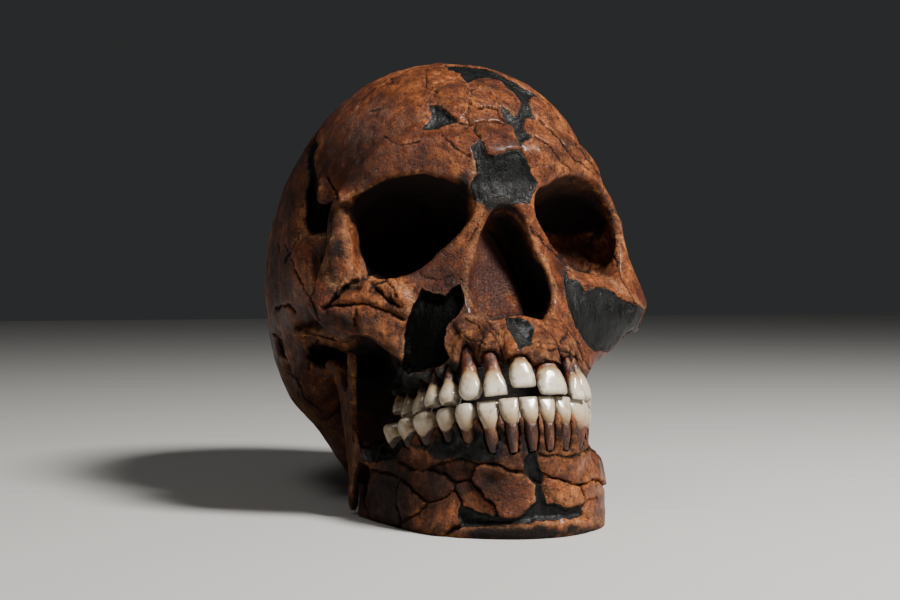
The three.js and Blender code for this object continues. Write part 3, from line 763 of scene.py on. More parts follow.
# Stations down a tooth: how far along crown then root, half width, half depth, squareness of the section
TOOTH_FORMS = {
    "incisor": [(0, 0.49, 0.1, 3.2), (0.12, 0.51, 0.2, 3.2), (0.45, 0.49, 0.35, 2.7), (0.82, 0.38, 0.45, 2.3),
                (1.02, 0.35, 0.41, 2), (1.4, 0.33, 0.37, 2), (2, 0.18, 0.18, 2)],
    "square": [(0, 0.44, 0.12, 3.4), (0.1, 0.48, 0.2, 3.4), (0.45, 0.5, 0.34, 3), (0.82, 0.44, 0.44, 2.6),
               (1.02, 0.37, 0.42, 2.2), (1.4, 0.3, 0.38, 2), (2, 0.14, 0.18, 2)],
    "canine": [(0, 0.2, 0.15, 2.2), (0.1, 0.36, 0.27, 2.2), (0.38, 0.49, 0.4, 2.3), (0.78, 0.4, 0.48, 2.2),
               (1.02, 0.33, 0.43, 2), (1.4, 0.31, 0.39, 2), (2, 0.18, 0.19, 2)],
    "premolar": [(0.1, 0.1, 0.12, 2), (0, 0.33, 0.36, 2.3), (0.12, 0.44, 0.45, 2.4), (0.42, 0.5, 0.5, 2.5),
                 (0.82, 0.38, 0.45, 2.3), (1.02, 0.3, 0.41, 2.1), (1.4, 0.25, 0.36, 2), (2, 0.13, 0.18, 2)],
    "stout": [(0.1, 0.1, 0.12, 2), (0, 0.33, 0.36, 2.3), (0.12, 0.44, 0.45, 2.4), (0.42, 0.5, 0.5, 2.5),
              (0.82, 0.41, 0.45, 2.3), (1.02, 0.36, 0.41, 2.1), (1.4, 0.34, 0.36, 2), (2, 0.2, 0.18, 2)],
    "molar": [(0.14, 0.12, 0.14, 2), (0, 0.36, 0.38, 2.8), (0.12, 0.46, 0.47, 2.9), (0.42, 0.51, 0.5, 3),
              (0.82, 0.44, 0.46, 2.7), (1.02, 0.38, 0.42, 2.4), (1.4, 0.32, 0.39, 2.2), (2, 0.2, 0.24, 2)],
}


def tooth_axes(row, side, jaw, moved):
    """Tip, direction of the root, outward direction and direction along the arch."""
    x, y, shortfall = row[1], row[2], row[8]
    upper = jaw == "upper"
    bite = BITE[0] + BITE[2] * (y - BITE[1])
    tip = np.array([side * x, y, bite + UPPER_ROOM + shortfall if upper else bite - LOWER_ROOM]) + moved
    arch = math.atan2(x / 1.35, -y - 62)
    outward = np.array([side * math.sin(arch), -math.cos(arch), 0])
    along = np.array([-outward[1], outward[0], 0])
    root = np.array([0, 0, 1.0 if upper else -1.0]) - outward * ROOT_LEAN * (1 if upper else 0.45)
    return tip, root / np.linalg.norm(root), outward, along


def tooth_rings(row, side, jaw, moved, fine, around, grow=0.0):
    width, depth, crown, length, form = row[3:8]
    tip, root, outward, along = tooth_axes(row, side, jaw, moved)
    angle = 2 * math.pi * (np.arange(around) + 0.5) / around
    rings = []
    for down, across, through, square in curve(TOOTH_FORMS[form], fine):
        reach = down * crown if down <= 1 else crown + (down - 1) * (length - crown)
        c, s = np.cos(angle), np.sin(angle)
        size = (np.abs(c) ** square + np.abs(s) ** square) ** (-1 / square)
        rings.append(
            tip + root * reach + (width * across + grow) * (c * size)[:, None] * along
            + (depth * through + grow) * (s * size)[:, None] * outward
        )
    return np.array(rings)


def every_tooth():
    for jaw, rows in (("upper", UPPER), ("lower", LOWER)):
        for row in rows:
            for word, side in (("right", -1), ("left", 1)):
                name = f"{jaw}_{word}_{row[0]}"
                form = FORMS.get(name, row[7])
                fitted = (*row[:3], *SIZES.get(name, row[3:5]), *row[5:7], form, row[8])
                yield name, fitted, side, jaw, np.array(SHIFTED.get(name, (0, 0, 0)), float)


# Marks on the bone, drawn where they show in the picture, in pixels

# Filler: outline, depth below the bone, thickness
CRANIUM_FILLERS = {
    "glabella_filler": (
        [(470, 147), (479, 140), (484, 145), (487, 154), (494, 156), (507, 152), (519, 151), (526, 158),
         (532, 173), (538, 182), (533, 195), (529, 203), (520, 203), (514, 206), (510, 200), (502, 196.5),
         (494, 197.5), (488, 202), (484, 206), (474, 201), (470, 185), (477, 173), (476, 162)], 0.7, 2.5),
    "forehead_filler": (
        [(441, 61), (448, 69), (460, 74), (467, 84), (475, 79), (484, 77), (502, 82), (514, 95),
         (521, 104), (518, 114), (514, 116), (499, 105), (502, 116), (512, 128), (516, 138), (520, 149),
         (522, 142), (533, 139), (522, 128), (525, 119), (536, 120), (532, 115), (528, 106), (530, 98),
         (548, 101), (532, 93), (512, 81), (497, 74), (480, 64), (462, 60)], 0.9, 2.5),
    "forehead_small_filler": (
        [(429, 105), (435, 106), (442, 109), (451, 117), (460, 123), (448, 125), (438, 128), (422, 131),
         (424, 126), (431, 118)], 0.9, 2.2),
    "left_cheek_filler": (
        [(563, 270), (570, 280), (578, 284), (586, 293), (594, 288), (601, 287), (612, 292), (622, 300),
         (634, 304), (655, 313), (640, 330), (610, 352), (594, 352), (583, 340), (573, 322), (566, 298)],
         0.5, 2.6),
    "right_cheek_filler": (
        [(422, 287), (433, 293), (444, 296), (453, 288), (460, 284), (465, 303), (457, 315), (447, 326),
         (443, 345), (450, 358), (440, 367), (424, 371), (408, 374), (401, 368), (403, 359), (405, 334),
         (407, 320), (413, 305), (420, 293)], 2.6, 2.6),
    "nasal_floor_filler": (
        [(504, 319), (519, 318), (529, 322), (535, 329), (531, 345), (519, 350), (510, 333)], 0.9, 2.0),
}
JAW_FILLERS = {
    "jaw_front_filler": (
        [(459.5, 504.5), (474.4, 511), (491.7, 515.5), (511.2, 519.5), (520.4, 517.8), (529.6, 507.4),
         (535.3, 500.6), (535.3, 485.6), (525, 474.1), (522.7, 460.4), (530.7, 451.2), (535.3, 453.5),
         (541, 470.7), (543.3, 475.3), (541, 483.3), (544.5, 496), (547, 503), (554.8, 504),
         (566.3, 507.4), (581.2, 505.1), (582.4, 515.5), (577.8, 518), (554.8, 520.2), (531.8, 523),
         (508.9, 525), (485.9, 526), (459, 527)], 1.6, 2.4),
    "right_jaw_angle_filler": (
        [(357, 430), (370, 436), (384, 433), (398, 440), (401, 450), (393, 459), (378, 463), (362, 461)],
         1.2, 2.0),
}


# Crack: half width and depth in millimetres, then its line
CRANIUM_CRACKS = [
    (0.35, 0.5, [(426, 69), (427, 87), (433, 90), (437, 94)]),
    (0.3, 0.4, [(434, 86), (442, 83), (453, 80), (467, 84)]),
    (0.4, 0.6, [(470, 93), (471, 99), (468, 104), (469, 110), (467, 116), (470, 124)]),
    (0.35, 0.5, [(460, 123), (472, 124.6)]),
    (0.4, 0.6, [(470, 104), (477, 110), (486, 108), (497, 109)]),
    (0.4, 0.5, [(467, 91), (480, 91), (489, 91), (495, 95), (498, 104)]),
    (0.4, 0.6, [(475, 123), (491, 122), (504, 125), (512, 126.5)]),
    (0.35, 0.5, [(497, 109), (499, 118), (509, 124)]), (0.4, 0.6, [(474, 124), (476, 132), (481, 138)]),
    (0.5, 0.7, [(442, 134), (450, 141), (460, 151), (470, 156)]),
    (0.6, 0.9, [(520, 149), (524, 155), (528, 162)]),
    (0.4, 0.6, [(548, 101), (555, 114), (563, 127), (573, 137), (576, 147)]),
    (0.35, 0.5, [(539, 121), (558, 139), (567, 152), (577, 161), (592, 171)]),
    (0.3, 0.4, [(535, 139), (548, 146), (560, 160), (571, 172)]),
    (0.3, 0.4, [(576, 147), (590, 160), (600, 176)]),
    (0.7, 1.1, [(352, 93), (345, 100), (339, 104), (328, 116), (317, 129), (313, 145)]),
    (1.4, 1.6, [(313, 145), (309, 160), (312, 178), (313, 191), (311, 216)]),
    (0.5, 0.8, [(326, 176), (333, 186), (339, 200)]),
    (0.4, 0.6, [(290, 258), (299, 278), (309, 298), (315, 311), (318, 321)]),
    (0.3, 0.4, [(278, 242), (279, 252)]), (0.3, 0.4, [(284, 264), (290, 254), (285, 245)]),
    (0.5, 0.7, [(275, 309), (281, 306), (290, 306), (296, 312)]),
    (1.0, 1.6, [(324, 307), (329, 303), (337, 295), (346, 288), (355, 283), (371, 274)]),
    (0.5, 0.8, [(328, 306), (346, 305), (363, 303), (380, 308), (396, 317), (403, 320)]),
    (0.4, 0.6, [(355, 309), (353, 325)]),
    (0.5, 0.8, [(369, 292), (376, 283), (386, 281), (394, 289)]),
    (0.4, 0.6, [(273, 333), (281, 345), (286, 360)]), (0.9, 1.6, [(277, 337), (279, 350), (284, 358)]),
    (0.4, 0.5, [(484, 212), (476, 228), (470, 240)]),
    (0.4, 0.6, [(531, 228), (543, 243), (556, 255), (566, 266)]),
    (0.3, 0.4, [(545, 330), (556, 345), (561, 362)]),
    (0.4, 0.5, [(478, 322), (489, 331), (500, 345), (503, 362)]),
    (0.3, 0.4, [(455, 330), (468, 338), (486, 345)]), (0.3, 0.4, [(575, 345), (583, 360), (590, 372)]),
    (0.3, 0.4, [(600, 225), (612, 250), (622, 280), (634, 304)]),
    (0.3, 0.35, [(369, 112), (380, 109)]), (0.3, 0.4, [(384, 137), (399, 146), (420, 141)]),
    (0.7, 1.0, [(372, 283), (378, 291), (386, 299), (398, 307)]),
    (0.5, 0.8, [(386, 281), (393, 286), (398, 296)]), (0.4, 0.6, [(560, 320), (570, 336), (585, 352)]),
    (0.4, 0.6, [(548, 350), (566, 352), (581, 362)]), (0.4, 0.5, [(567, 329), (560, 344)]),
    (0.5, 0.7, [(533, 356), (548, 362), (562, 366), (581, 371)]),
    (0.4, 0.6, [(466, 320), (478, 326), (484, 340), (478, 350)]),
    (0.4, 0.5, [(487, 322), (498, 334)]),
    (0.4, 0.6, [(286, 372), (298, 380), (304, 396), (318, 408)]),
    (0.4, 0.6, [(318, 340), (308, 352), (310, 372)]),
    (0.3, 0.4, [(417, 268), (424, 276), (440, 280), (452, 276)]),
    (0.3, 0.4, [(300, 232), (292, 250), (284, 262)]),
]
JAW_CRACKS = [
    (0.5, 0.8, [(543.3, 474.1), (560.5, 479.9), (573, 485.6), (582.4, 484.5), (590.4, 479.9), (593.8, 479.3),
                (605, 487)]),
    (0.4, 0.6, [(578.9, 486.8), (582.4, 496), (584.7, 501.7), (582.4, 507.4)]),
    (0.35, 0.5, [(584.7, 501.7), (595, 497)]),
    (0.5, 0.7, [(539.9, 455.8), (554.8, 455.8), (569.7, 458), (577.8, 454.6), (590, 449)]),
    (0.6, 0.9, [(475.6, 465), (486, 463.5), (497.4, 465), (508.9, 470.7), (522, 471.8)]),
    (0.6, 0.9, [(475.6, 465), (473.3, 471.8), (471, 481), (480.2, 490.2), (483.6, 498.3), (495.1, 504),
                (498, 516)]),
    (0.6, 0.9, [(471, 481), (462, 482), (456, 484), (456, 489.1), (461.8, 501.7), (462, 509)]),
    (0.6, 0.9, [(456, 484), (444, 474), (430, 470), (414, 471), (400, 461)]),
    (0.5, 0.8, [(456, 489.1), (440, 500), (428, 503), (412, 490), (402, 478), (385, 472), (370, 470)]),
    (0.5, 0.8, [(428, 503), (420, 512), (402, 522), (398, 530)]),
    (0.5, 0.8, [(475.6, 465), (462, 458), (446, 462), (430, 470)]),
    (0.7, 1.0, [(372, 474), (368, 486), (366, 500), (370, 516)]),
    (0.4, 0.6, [(402, 478), (398, 495), (402, 522)]),
    (0.9, 1.4, [(459, 526), (452, 529), (444, 536)]),
]

# Fragments that stand a little proud of their neighbours: rise in millimetres and outline
CRANIUM_FRAGMENTS = [
    (0.3, [(441, 60), (448, 69), (460, 74), (467, 84), (453, 80), (442, 83), (434, 86), (427, 87),
           (426, 69)]),
    (0.6, [(434, 86), (442, 83), (453, 80), (467, 84), (470, 93), (471, 99), (468, 104), (469, 110),
           (467, 116), (460, 123), (451, 117), (442, 109), (435, 106), (437, 94), (433, 90)]),
    (0.2, [(467, 84), (475, 79), (484, 77), (502, 82), (514, 95), (521, 104), (518, 114), (514, 116),
           (499, 105), (495, 95), (489, 91), (467, 91)]),
    (0.7, [(467, 91), (480, 91), (489, 91), (495, 95), (498, 104), (497, 109), (477, 110), (470, 104)]),
    (0.35, [(470, 104), (477, 110), (497, 109), (499, 118), (509, 124), (512, 126), (504, 125), (491, 122),
            (475, 123), (470, 124), (467, 116), (469, 110)]),
    (0.6, [(475, 123), (491, 122), (504, 125), (512, 127), (516, 138), (520, 149), (519, 151), (507, 152),
           (494, 156), (487, 154), (484, 145), (481, 138), (476, 132)]),
    (0.6, [(530, 98), (548, 101), (555, 114), (563, 127), (573, 137), (576, 147), (567, 152), (558, 139),
           (539, 121), (536, 120), (532, 115), (528, 106)]),
    (0.25, [(522, 128), (525, 119), (536, 120), (539, 121), (558, 139), (567, 152), (577, 161), (592, 171),
            (575, 172), (560, 160), (548, 146), (535, 139)]),
    (0.6, [(328, 304), (337, 296), (346, 289), (355, 284), (371, 275), (380, 272), (392, 286), (404, 294),
           (413, 303), (407, 318), (396, 315), (380, 306), (363, 301), (346, 303)]),
    (0.9, [(358, 311), (380, 310), (396, 319), (407, 322), (405, 334), (403, 359), (395, 354), (377, 336),
           (358, 334)]),
    (0.5, [(563, 272), (576, 272), (592, 271), (612, 278), (630, 292), (646, 309), (634, 304), (622, 300),
           (601, 287), (586, 293), (572, 282)]),
    (0.5, [(452, 322), (466, 314), (484, 318), (498, 322), (503, 334), (500, 348), (488, 352), (474, 346),
           (462, 338)]),
    (0.45, [(546, 322), (556, 318), (572, 330), (580, 345), (592, 362), (594, 376), (580, 370), (566, 361),
            (553, 352), (547, 338)]),
    (0.3, [(536, 331), (545, 324), (546, 338), (552, 352), (540, 357), (531, 352)]),
    (0.7, [(384, 275), (396, 279), (406, 287), (413, 300), (407, 307), (397, 303), (389, 294)]),
    (0.6, [(335, 298), (350, 288), (368, 280), (373, 290), (363, 299), (346, 303)]),
    (0.5, [(328, 308), (341, 306), (354, 306), (354, 331), (345, 333), (332, 328)]),
]
JAW_FRAGMENTS = [
    (1.1, [(475.6, 465), (486, 463.5), (497.4, 465), (508.9, 470.7), (522, 473), (534, 484.5), (534, 496),
           (529, 507), (520, 517), (511, 519), (498, 516), (495, 504), (483.6, 498.3), (480.2, 490.2),
           (471, 481), (473.3, 471.8)]),
    (0.6, [(456, 484), (462, 482), (471, 481), (480.2, 490.2), (483.6, 498.3), (495.1, 504), (498, 516),
           (491.7, 515), (474, 511), (462, 508), (461.8, 501.7), (456, 489)]),
    (0.4, [(428, 503), (440, 500), (456, 489), (461.8, 501.7), (462, 509), (461, 519), (452, 522), (440, 530),
           (425, 534), (398, 530), (402, 522), (420, 512)]),
    (1.0, [(402, 478), (412, 490), (428, 503), (420, 512), (402, 522), (398, 495)]),
    (0.2, [(414, 471), (430, 470), (444, 474), (456, 484), (456, 489), (440, 500), (428, 503), (412, 490),
           (402, 478)]),
    (0.7, [(370, 470), (385, 472), (402, 478), (398, 495), (402, 522), (395, 526), (372, 519), (366, 500),
           (368, 486)]),
    (1.0, [(545, 476), (560.5, 479.9), (573, 485.6), (578.9, 486.8), (582.4, 496), (584.7, 501.7), (581, 505),
           (566, 507), (556, 503), (548, 496), (543, 484)]),
    (0.7, [(541, 457), (554.8, 455.8), (569.7, 458), (577.8, 454.6), (590, 449), (602, 452), (608, 467),
           (608, 487), (593.8, 479.3), (582.4, 484.5), (573, 485.6), (560.5, 479.9), (545, 475), (541, 466)]),
    (0.4, [(582.4, 484.5), (593.8, 479.3), (608, 487), (608, 512), (598, 516), (583, 515), (582, 507),
           (584.7, 501.7), (582, 496), (579, 487)]),
    (1.2, [(458, 534), (461, 528), (486, 526.5), (509, 526), (532, 524), (555, 521), (578, 519), (590, 518),
           (594, 524), (586, 534), (552, 542), (515, 544), (480, 544)]),
]

# Broken rims where the spongy inside of the bone shows: half width in millimetres, strength and line. The two
# lines along the lower edge of the right brow are a painted highlight
SPONGY_AND_HIGHLIGHT = [
    (1.2, 1.0, [(295, 242), (301, 236), (309, 234), (317, 235), (325, 239), (331, 236)]),
    (1.5, 1.0, [(321, 259), (323, 270), (328, 280), (337, 285), (345, 284), (350, 277)]),
    (0.5, 0.5, [(343, 221), (346, 240), (347, 255), (351, 272)]),
    (0.4, 0.4, [(354, 228), (358, 245), (361, 260), (366, 274)]),
    (0.8, 0.4, [(303, 331), (309, 330), (317, 331)]),
    (1.6, 0.6, [(281, 366), (288, 391), (305, 415), (333, 433)]),
    # The next two lines are a painted highlight along the right brow's lower edge
    (0.6, 1.0, [(339, 203), (345, 199), (352, 195), (362, 190)]),
    (0.35, 0.3, [(362, 190), (383, 179), (403, 175), (426, 173)]),
    (1.4, 0.9, [(474, 149), (476, 160), (475, 172)]),
    (1.4, 0.7, [(401, 290), (408, 296), (411, 304), (406, 316)]),
    (1.4, 0.6, [(405, 334), (402, 358), (395, 352)]),
    (0.7, 0.6, [(352, 277), (362, 274), (376, 273), (390, 272)]),
    (1.3, 0.8, [(397, 287), (404, 290), (410, 295), (416, 300)]),
    (0.6, 0.5, [(335, 296), (350, 287), (372, 278)]),
    (0.5, 0.5, [(303, 333), (305, 345), (308, 356)]),
    (0.7, 0.6, [(483, 210), (477, 235), (468, 262), (465, 285), (470, 305)]),
    (0.9, 0.6, [(514, 214), (532, 240), (545, 262)]),
    (1.2, 0.5, [(470, 318), (486, 316), (497, 322), (500, 340)]),
    (1.6, 0.5, [(448, 330), (446, 345), (452, 356)]),
    (0.8, 0.8, [(311, 152), (306, 168), (309, 186)]),
    (0.8, 0.6, [(566, 268), (586, 271), (604, 276), (622, 290), (644, 308)]),
    (1.0, 0.4, [(500, 366), (515, 360), (540, 356), (560, 362), (580, 372)]),
]
JAW_SPONGY = [
    (0.8, 0.5, [(490, 458), (500, 462), (512, 468), (522, 474)]),
    (0.8, 0.6, [(522, 460), (524, 470), (523, 478)]),
    (0.8, 0.4, [(545, 450), (560, 454), (575, 455), (590, 448)]),
    (0.8, 0.8, [(534, 486), (534, 496), (530, 506)]),
    (0.8, 0.6, [(545, 478), (547, 492), (556, 502), (570, 506), (582, 504)]),
    (0.5, 0.4, [(463, 528), (486, 527), (509, 528), (532, 526), (555, 522), (578, 520)]),
    (1.2, 0.7, [(583, 508), (592, 517), (604, 520)]),
    (1.0, 0.7, [(354, 348), (356, 360), (355, 400)]),
    (0.7, 0.6, [(350, 430), (350, 470), (352, 500)]),
    (1.0, 0.6, [(475, 466), (470, 462), (486, 462)]),
    (0.8, 0.5, [(495, 504), (498, 514), (492, 516)]),
]
# Raised and worn rims: half width and rise in millimetres, how worn, and line. The rim along the right brow
# is also made pale as a painted highlight on its lit edge
RIMS = [
    # Along the right brow: worn rim made paler as a painted highlight
    (0.9, 1.2, 1.2, [(341, 200), (352, 194), (362, 189), (383, 178), (403, 174), (426, 171), (438, 175)]),
    (0.6, 0.7, 0.9, [(304, 331), (303, 338), (305, 346), (309, 354)]),
    (0.7, 1.0, 0.5, [(344, 216), (348, 240), (352, 272)]),
    (0.7, 1.0, 0.5, [(352, 226), (358, 248), (364, 272)]),
    (0.6, 0.7, 0.3, [(358, 223), (369, 245), (382, 268)]),
    (0.7, 0.4, 0.5, [(380, 271), (409, 270), (426, 262)]),
    (0.7, 0.4, 0.4, [(426, 262), (443, 252), (460, 238), (470, 227)]),
    (0.6, 0.3, 0.5, [(482, 208), (475, 245), (465, 275), (465, 292), (472, 308), (483, 315)]),
    (0.6, 0.3, 0.5, [(514, 215), (535, 243), (546, 261), (551, 298), (545, 316)]),
    (0.8, 0.5, 0.7, [(542, 186), (559, 182), (579, 185), (599, 192), (611, 208), (618, 228)]),
    (0.8, 0.6, 0.6, [(303, 330), (317, 331), (334, 336), (353, 339)]),
]
JAW_RIMS = [
    (0.5, 0.3, 0.8, [(372, 474), (402, 478), (414, 471), (430, 470)]),
    (0.5, 0.3, 0.8, [(353, 352), (356, 370), (354, 400)]),
]
# Bone smeared over with dark filler. The last outline, at the top of the nasal slit, is painted shade in the
# filler's colour
SMEARS_AND_SHADE = [
    [(401, 362), (412, 372), (424, 373), (440, 369), (451, 359), (460, 366), (452, 380), (438, 388),
     (420, 390), (404, 396), (392, 396), (388, 388), (396, 376)],
    [(313, 141), (318, 142), (317, 152), (314, 161), (315, 172), (318, 186), (318, 203), (308, 203),
     (309, 190), (306, 176), (306, 160), (308, 148)],
    # Painted shade at the top of the nasal slit
    [(483, 207), (488, 201), (494, 196), (502, 195), (510, 198), (515, 206), (516, 214), (508, 211),
     (498, 207), (488, 212)],
]
JAW_SMEARS = [
    [(444, 430), (470, 428), (500, 433), (506, 448), (500, 461), (486, 463), (462, 461), (446, 455)],
    [(380, 438), (400, 441), (425, 444), (446, 434), (448, 460), (436, 461), (428, 452), (408, 447),
     (392, 450), (380, 452)],
    [(526, 434), (533, 438), (537, 452), (530, 457), (522, 450)],
]
# Recesses that no light reaches
SHADOWS = [
    [(486, 200), (500, 198), (512, 203), (516, 214), (526, 228), (537, 243), (547, 260), (552, 280),
     (552, 300), (546, 316), (537, 312), (529, 292), (518, 268), (508, 244), (500, 222), (490, 213)],
    [(386, 181), (403, 178), (426, 176), (447, 186), (466, 197), (474, 212), (462, 230), (443, 245),
     (420, 260), (400, 266), (386, 262), (379, 240), (374, 215), (376, 195)],
]
# Walls of the nose and of the left eye socket that catch the light
LIT = [
    [(483, 208), (490, 211), (500, 222), (508, 244), (518, 268), (529, 292), (534, 310), (505, 315),
     (484, 314), (473, 307), (467, 290), (467, 272), (478, 240)],
    [(531, 226), (545, 232), (570, 235), (592, 232), (600, 246), (602, 262), (587, 271), (566, 264),
     (548, 250)],
]
# Paler bone: brow edges, cheekbones, upper jaw, left forehead. Partly painted light: the lit left brow, the
# lit wall of the left eye socket and the lit filler by the right upper molars
PALE = [
    ((572, 170), (40, 16), 0.9), ((560, 125), (40, 26), 0.6), ((382, 300), (34, 20), 0.8),
    ((384, 328), (22, 16), 2.0), ((392, 290), (20, 12), 1.2), ((424, 372), (24, 10), 1.6),
    ((620, 270), (20, 30), 0.5), ((485, 110), (34, 26), 0.5), ((478, 330), (20, 26), 0.3),
    ((455, 248), (26, 26), 0.3), ((420, 95), (34, 28), 0.3), ((531, 225), (14, 30), 0.5),
]
JAW_PALE = [
    ((562, 492), (22, 16), 1.0), ((590, 478), (18, 34), 0.8), ((560, 466), (24, 12), 0.6),
    ((475, 508), (18, 8), 0.5), ((430, 516), (20, 10), 0.3),
]
# Greyish sheen painted on the right forehead: a painted highlight on the varnish
PAINTED_SHEEN = [((366, 135), (40, 34), 0.9), ((345, 105), (20, 26), 0.5), ((380, 118), (26, 14), 0.8)]
# Crumbled bone, with pits between its grains
CRUMBLED = [
    ((308, 402), (28, 32), 1.0), ((292, 350), (12, 20), 0.5), ((392, 300), (26, 14), 0.8),
    ((480, 336), (34, 18), 0.5), ((548, 345), (40, 26), 0.4), ((341, 318), (13, 13), 0.7),
    ((338, 268), (12, 18), 0.5), ((400, 150), (70, 12), 0.25), ((292, 203), (7, 15), 0.7),
    ((330, 200), (10, 8), 0.6), ((560, 158), (30, 16), 0.4), ((455, 330), (12, 22), 0.7),
    ((385, 330), (20, 20), 0.7), ((580, 250), (36, 14), 0.8),
]
JAW_CRUMBLED = [
    ((540, 444), (62, 14), 0.9), ((500, 462), (20, 8), 0.8), ((346, 400), (12, 40), 0.5),
    ((596, 505), (14, 14), 0.5), ((520, 532), (70, 6), 0.5), ((420, 468), (60, 8), 0.4),
]
# Darkened bone: partly real stains, partly painted shade on the right side of the skull, under the right brow
# and in the nasal slit
DARK = [
    ((464, 188), (13, 17), 1.4), ((328, 354), (24, 13), 1.6), ((336, 248), (14, 36), 1.4),
    ((300, 385), (44, 56), 0.6), ((370, 356), (26, 14), 1.8), ((505, 220), (9, 16), 1.5),
    ((518, 248), (8, 22), 1.5), ((534, 284), (11, 28), 1.5), ((331, 238), (13, 24), 0.6),
    ((306, 408), (30, 28), 0.8), ((425, 374), (36, 15), 1.5), ((500, 211), (14, 12), 1.3),
    ((352, 322), (3, 16), 0.8), ((318, 324), (22, 3), 0.9), ((322, 218), (13, 14), 1.6),
    ((300, 350), (26, 30), 0.5), ((291, 203), (7, 15), 0.9), ((341, 318), (13, 12), 1.3),
    ((385, 378), (26, 16), 1.8), ((365, 366), (16, 16), 1.8), ((415, 384), (34, 10), 1.2),
    ((377, 293), (6, 5), 1.4), ((392, 302), (7, 6), 1.4), ((430, 190), (60, 6), 0.6),
    ((560, 345), (32, 26), 0.5), ((440, 300), (30, 30), 0.3), ((498, 204), (15, 6), 1.4),
    ((310, 180), (7, 24), 0.8), ((310, 410), (34, 30), 0.9), ((344, 270), (5, 14), 0.4),
    ((358, 330), (4, 12), 0.6), ((405, 345), (5, 16), 0.5), ((470, 372), (34, 8), 0.6),
    ((350, 290), (14, 4), 0.8), ((510, 368), (20, 5), 0.8), ((590, 378), (16, 8), 0.7),
    ((525, 362), (60, 7), 0.7), ((400, 312), (14, 5), 0.7), ((420, 345), (14, 30), 0.4),
    ((520, 330), (26, 8), 0.5), ((285, 400), (16, 40), 0.6),
]
# Darkened jaw bone: partly real stains, partly painted shade towards the right side and along the lower
# border
JAW_DARK = [
    ((462, 447), (28, 16), 1.8), ((380, 450), (30, 20), 1.0), ((344, 430), (14, 60), 0.6),
    ((560, 440), (50, 9), 1.0), ((505, 446), (30, 14), 1.1), ((500, 486), (28, 20), 1.15),
    ((405, 492), (50, 34), 1.05), ((525, 533), (80, 8), 1.9), ((520, 443), (80, 15), 1.0),
    ((552, 448), (46, 10), 0.9), ((545, 432), (52, 8), 1.3), ((440, 480), (30, 26), 1.05),
    ((524, 448), (5, 22), 1.5), ((445, 532), (60, 9), 1.0), ((415, 496), (46, 32), 0.6),
    ((520, 458), (60, 9), 0.7), ((540, 452), (10, 22), 1.0), ((430, 528), (30, 10), 0.6),
    ((362, 482), (6, 34), 1.4), ((334, 400), (8, 14), 0.4),
]
# The dull lining of the nasal opening, darkened also as painted shade in that recess
LINING_AND_SHADE = [((500, 266), (28, 50), 1.2)]


def noise(points, size, seed):
    """Smooth noise between -1 and 1 whose lumps are about the given size."""
    q = np.asarray(points, float) / size + seed * 17.31 + 500.0
    i = np.floor(q).astype(np.int64)
    f = q - i
    f = f * f * (3 - 2 * f)
    total = np.zeros(len(q))
    for corner in range(8):
        d = np.array([corner & 1, corner >> 1 & 1, corner >> 2 & 1])
        j = i + d
        h = (j[:, 0] * 73856093 ^ j[:, 1] * 19349663 ^ j[:, 2] * 83492791 ^ seed * 2654435) & 0xFFFFFFF
        h = (h * 1103515245 + 12345) & 0xFFFFFFF
        h = (h ^ (h >> 13)) * 69069 & 0xFFFFFFF
        total += np.prod(np.where(d, f, 1 - f), axis=1) * (h / 0x7FFFFFF - 1.0)
    return total


def line_distance(pixel, line, closed=False):
    """Distance in pixels to a line through the given places."""
    p = np.array(line, float)
    a = p if closed else p[:-1]
    b = np.roll(p, -1, axis=0) if closed else p[1:]
    best = np.full(len(pixel), 1e9)
    for start, end in zip(a, b):
        along = end - start
        t = np.clip(((pixel - start) @ along) / (along @ along), 0, 1)
        best = np.minimum(best, np.linalg.norm(pixel - start - t[:, None] * along, axis=1))
    return best


def outline_distance(pixel, outline):
    """Distance in pixels to an outline, negative inside it."""
    p = np.array(outline, float)
    inside = np.zeros(len(pixel), bool)
    for start, end in zip(p, np.roll(p, -1, axis=0)):
        over = (start[1] > pixel[:, 1]) != (end[1] > pixel[:, 1])
        rise = end[1] - start[1] if end[1] != start[1] else 1e-9
        inside ^= over & (pixel[:, 0] < start[0] + (pixel[:, 1] - start[1]) * (end[0] - start[0]) / rise)
    return np.where(inside, -1, 1) * line_distance(pixel, outline, closed=True)


def shows(field, points, normal):
    """Where points land in the picture, millimetres per pixel there, and which can be seen."""
    pixel, far = photo(points)
    toward = from_floor(CAMERA_AT) - points
    toward /= np.linalg.norm(toward, axis=1, keepdims=True)
    seen = (normal * toward).sum(1) > -0.05
    for step in np.arange(SIGHT_START, 110, 3.5):
        left = np.flatnonzero(seen)
        behind = field.sample(points[left] + toward[left] * step) < -0.4
        seen[left[behind]] = False
    return pixel, far / LENS_PIXELS, seen


def wobbled(points, pixel, amount=1.3):
    """Pixels shifted a little, so that drawn lines turn into broken edges."""
    shift = [noise(points, 3.4, k) + 0.6 * noise(points, 1.3, k + 1) for k in (3, 5)]
    return pixel + amount * np.stack(shift, -1)


def mark_distances(field, points, fillers, cracks):
    """Millimetres to each filler outline and each crack. Points that don't show get a large value."""
    pixel, scale, seen = shows(field, points, field_normals(field, points))
    pixel = wobbled(points, pixel)
    to_filler, to_crack = {}, []
    for name, (outline, _, _) in fillers.items():
        to_filler[name] = near_only(pixel, scale, seen, outline, outline_distance)
    for _, _, line in cracks:
        to_crack.append(near_only(pixel, scale, seen, line, line_distance))
    return to_filler, to_crack


def near_only(pixel, scale, seen, line, measure, margin=14):
    p = np.array(line, float)
    near = seen & (pixel > p.min(0) - margin).all(1) & (pixel < p.max(0) + margin).all(1)
    value = np.full(len(pixel), 6.0)
    value[near] = np.minimum(measure(pixel[near], line) * scale[near], 6.0)
    return value


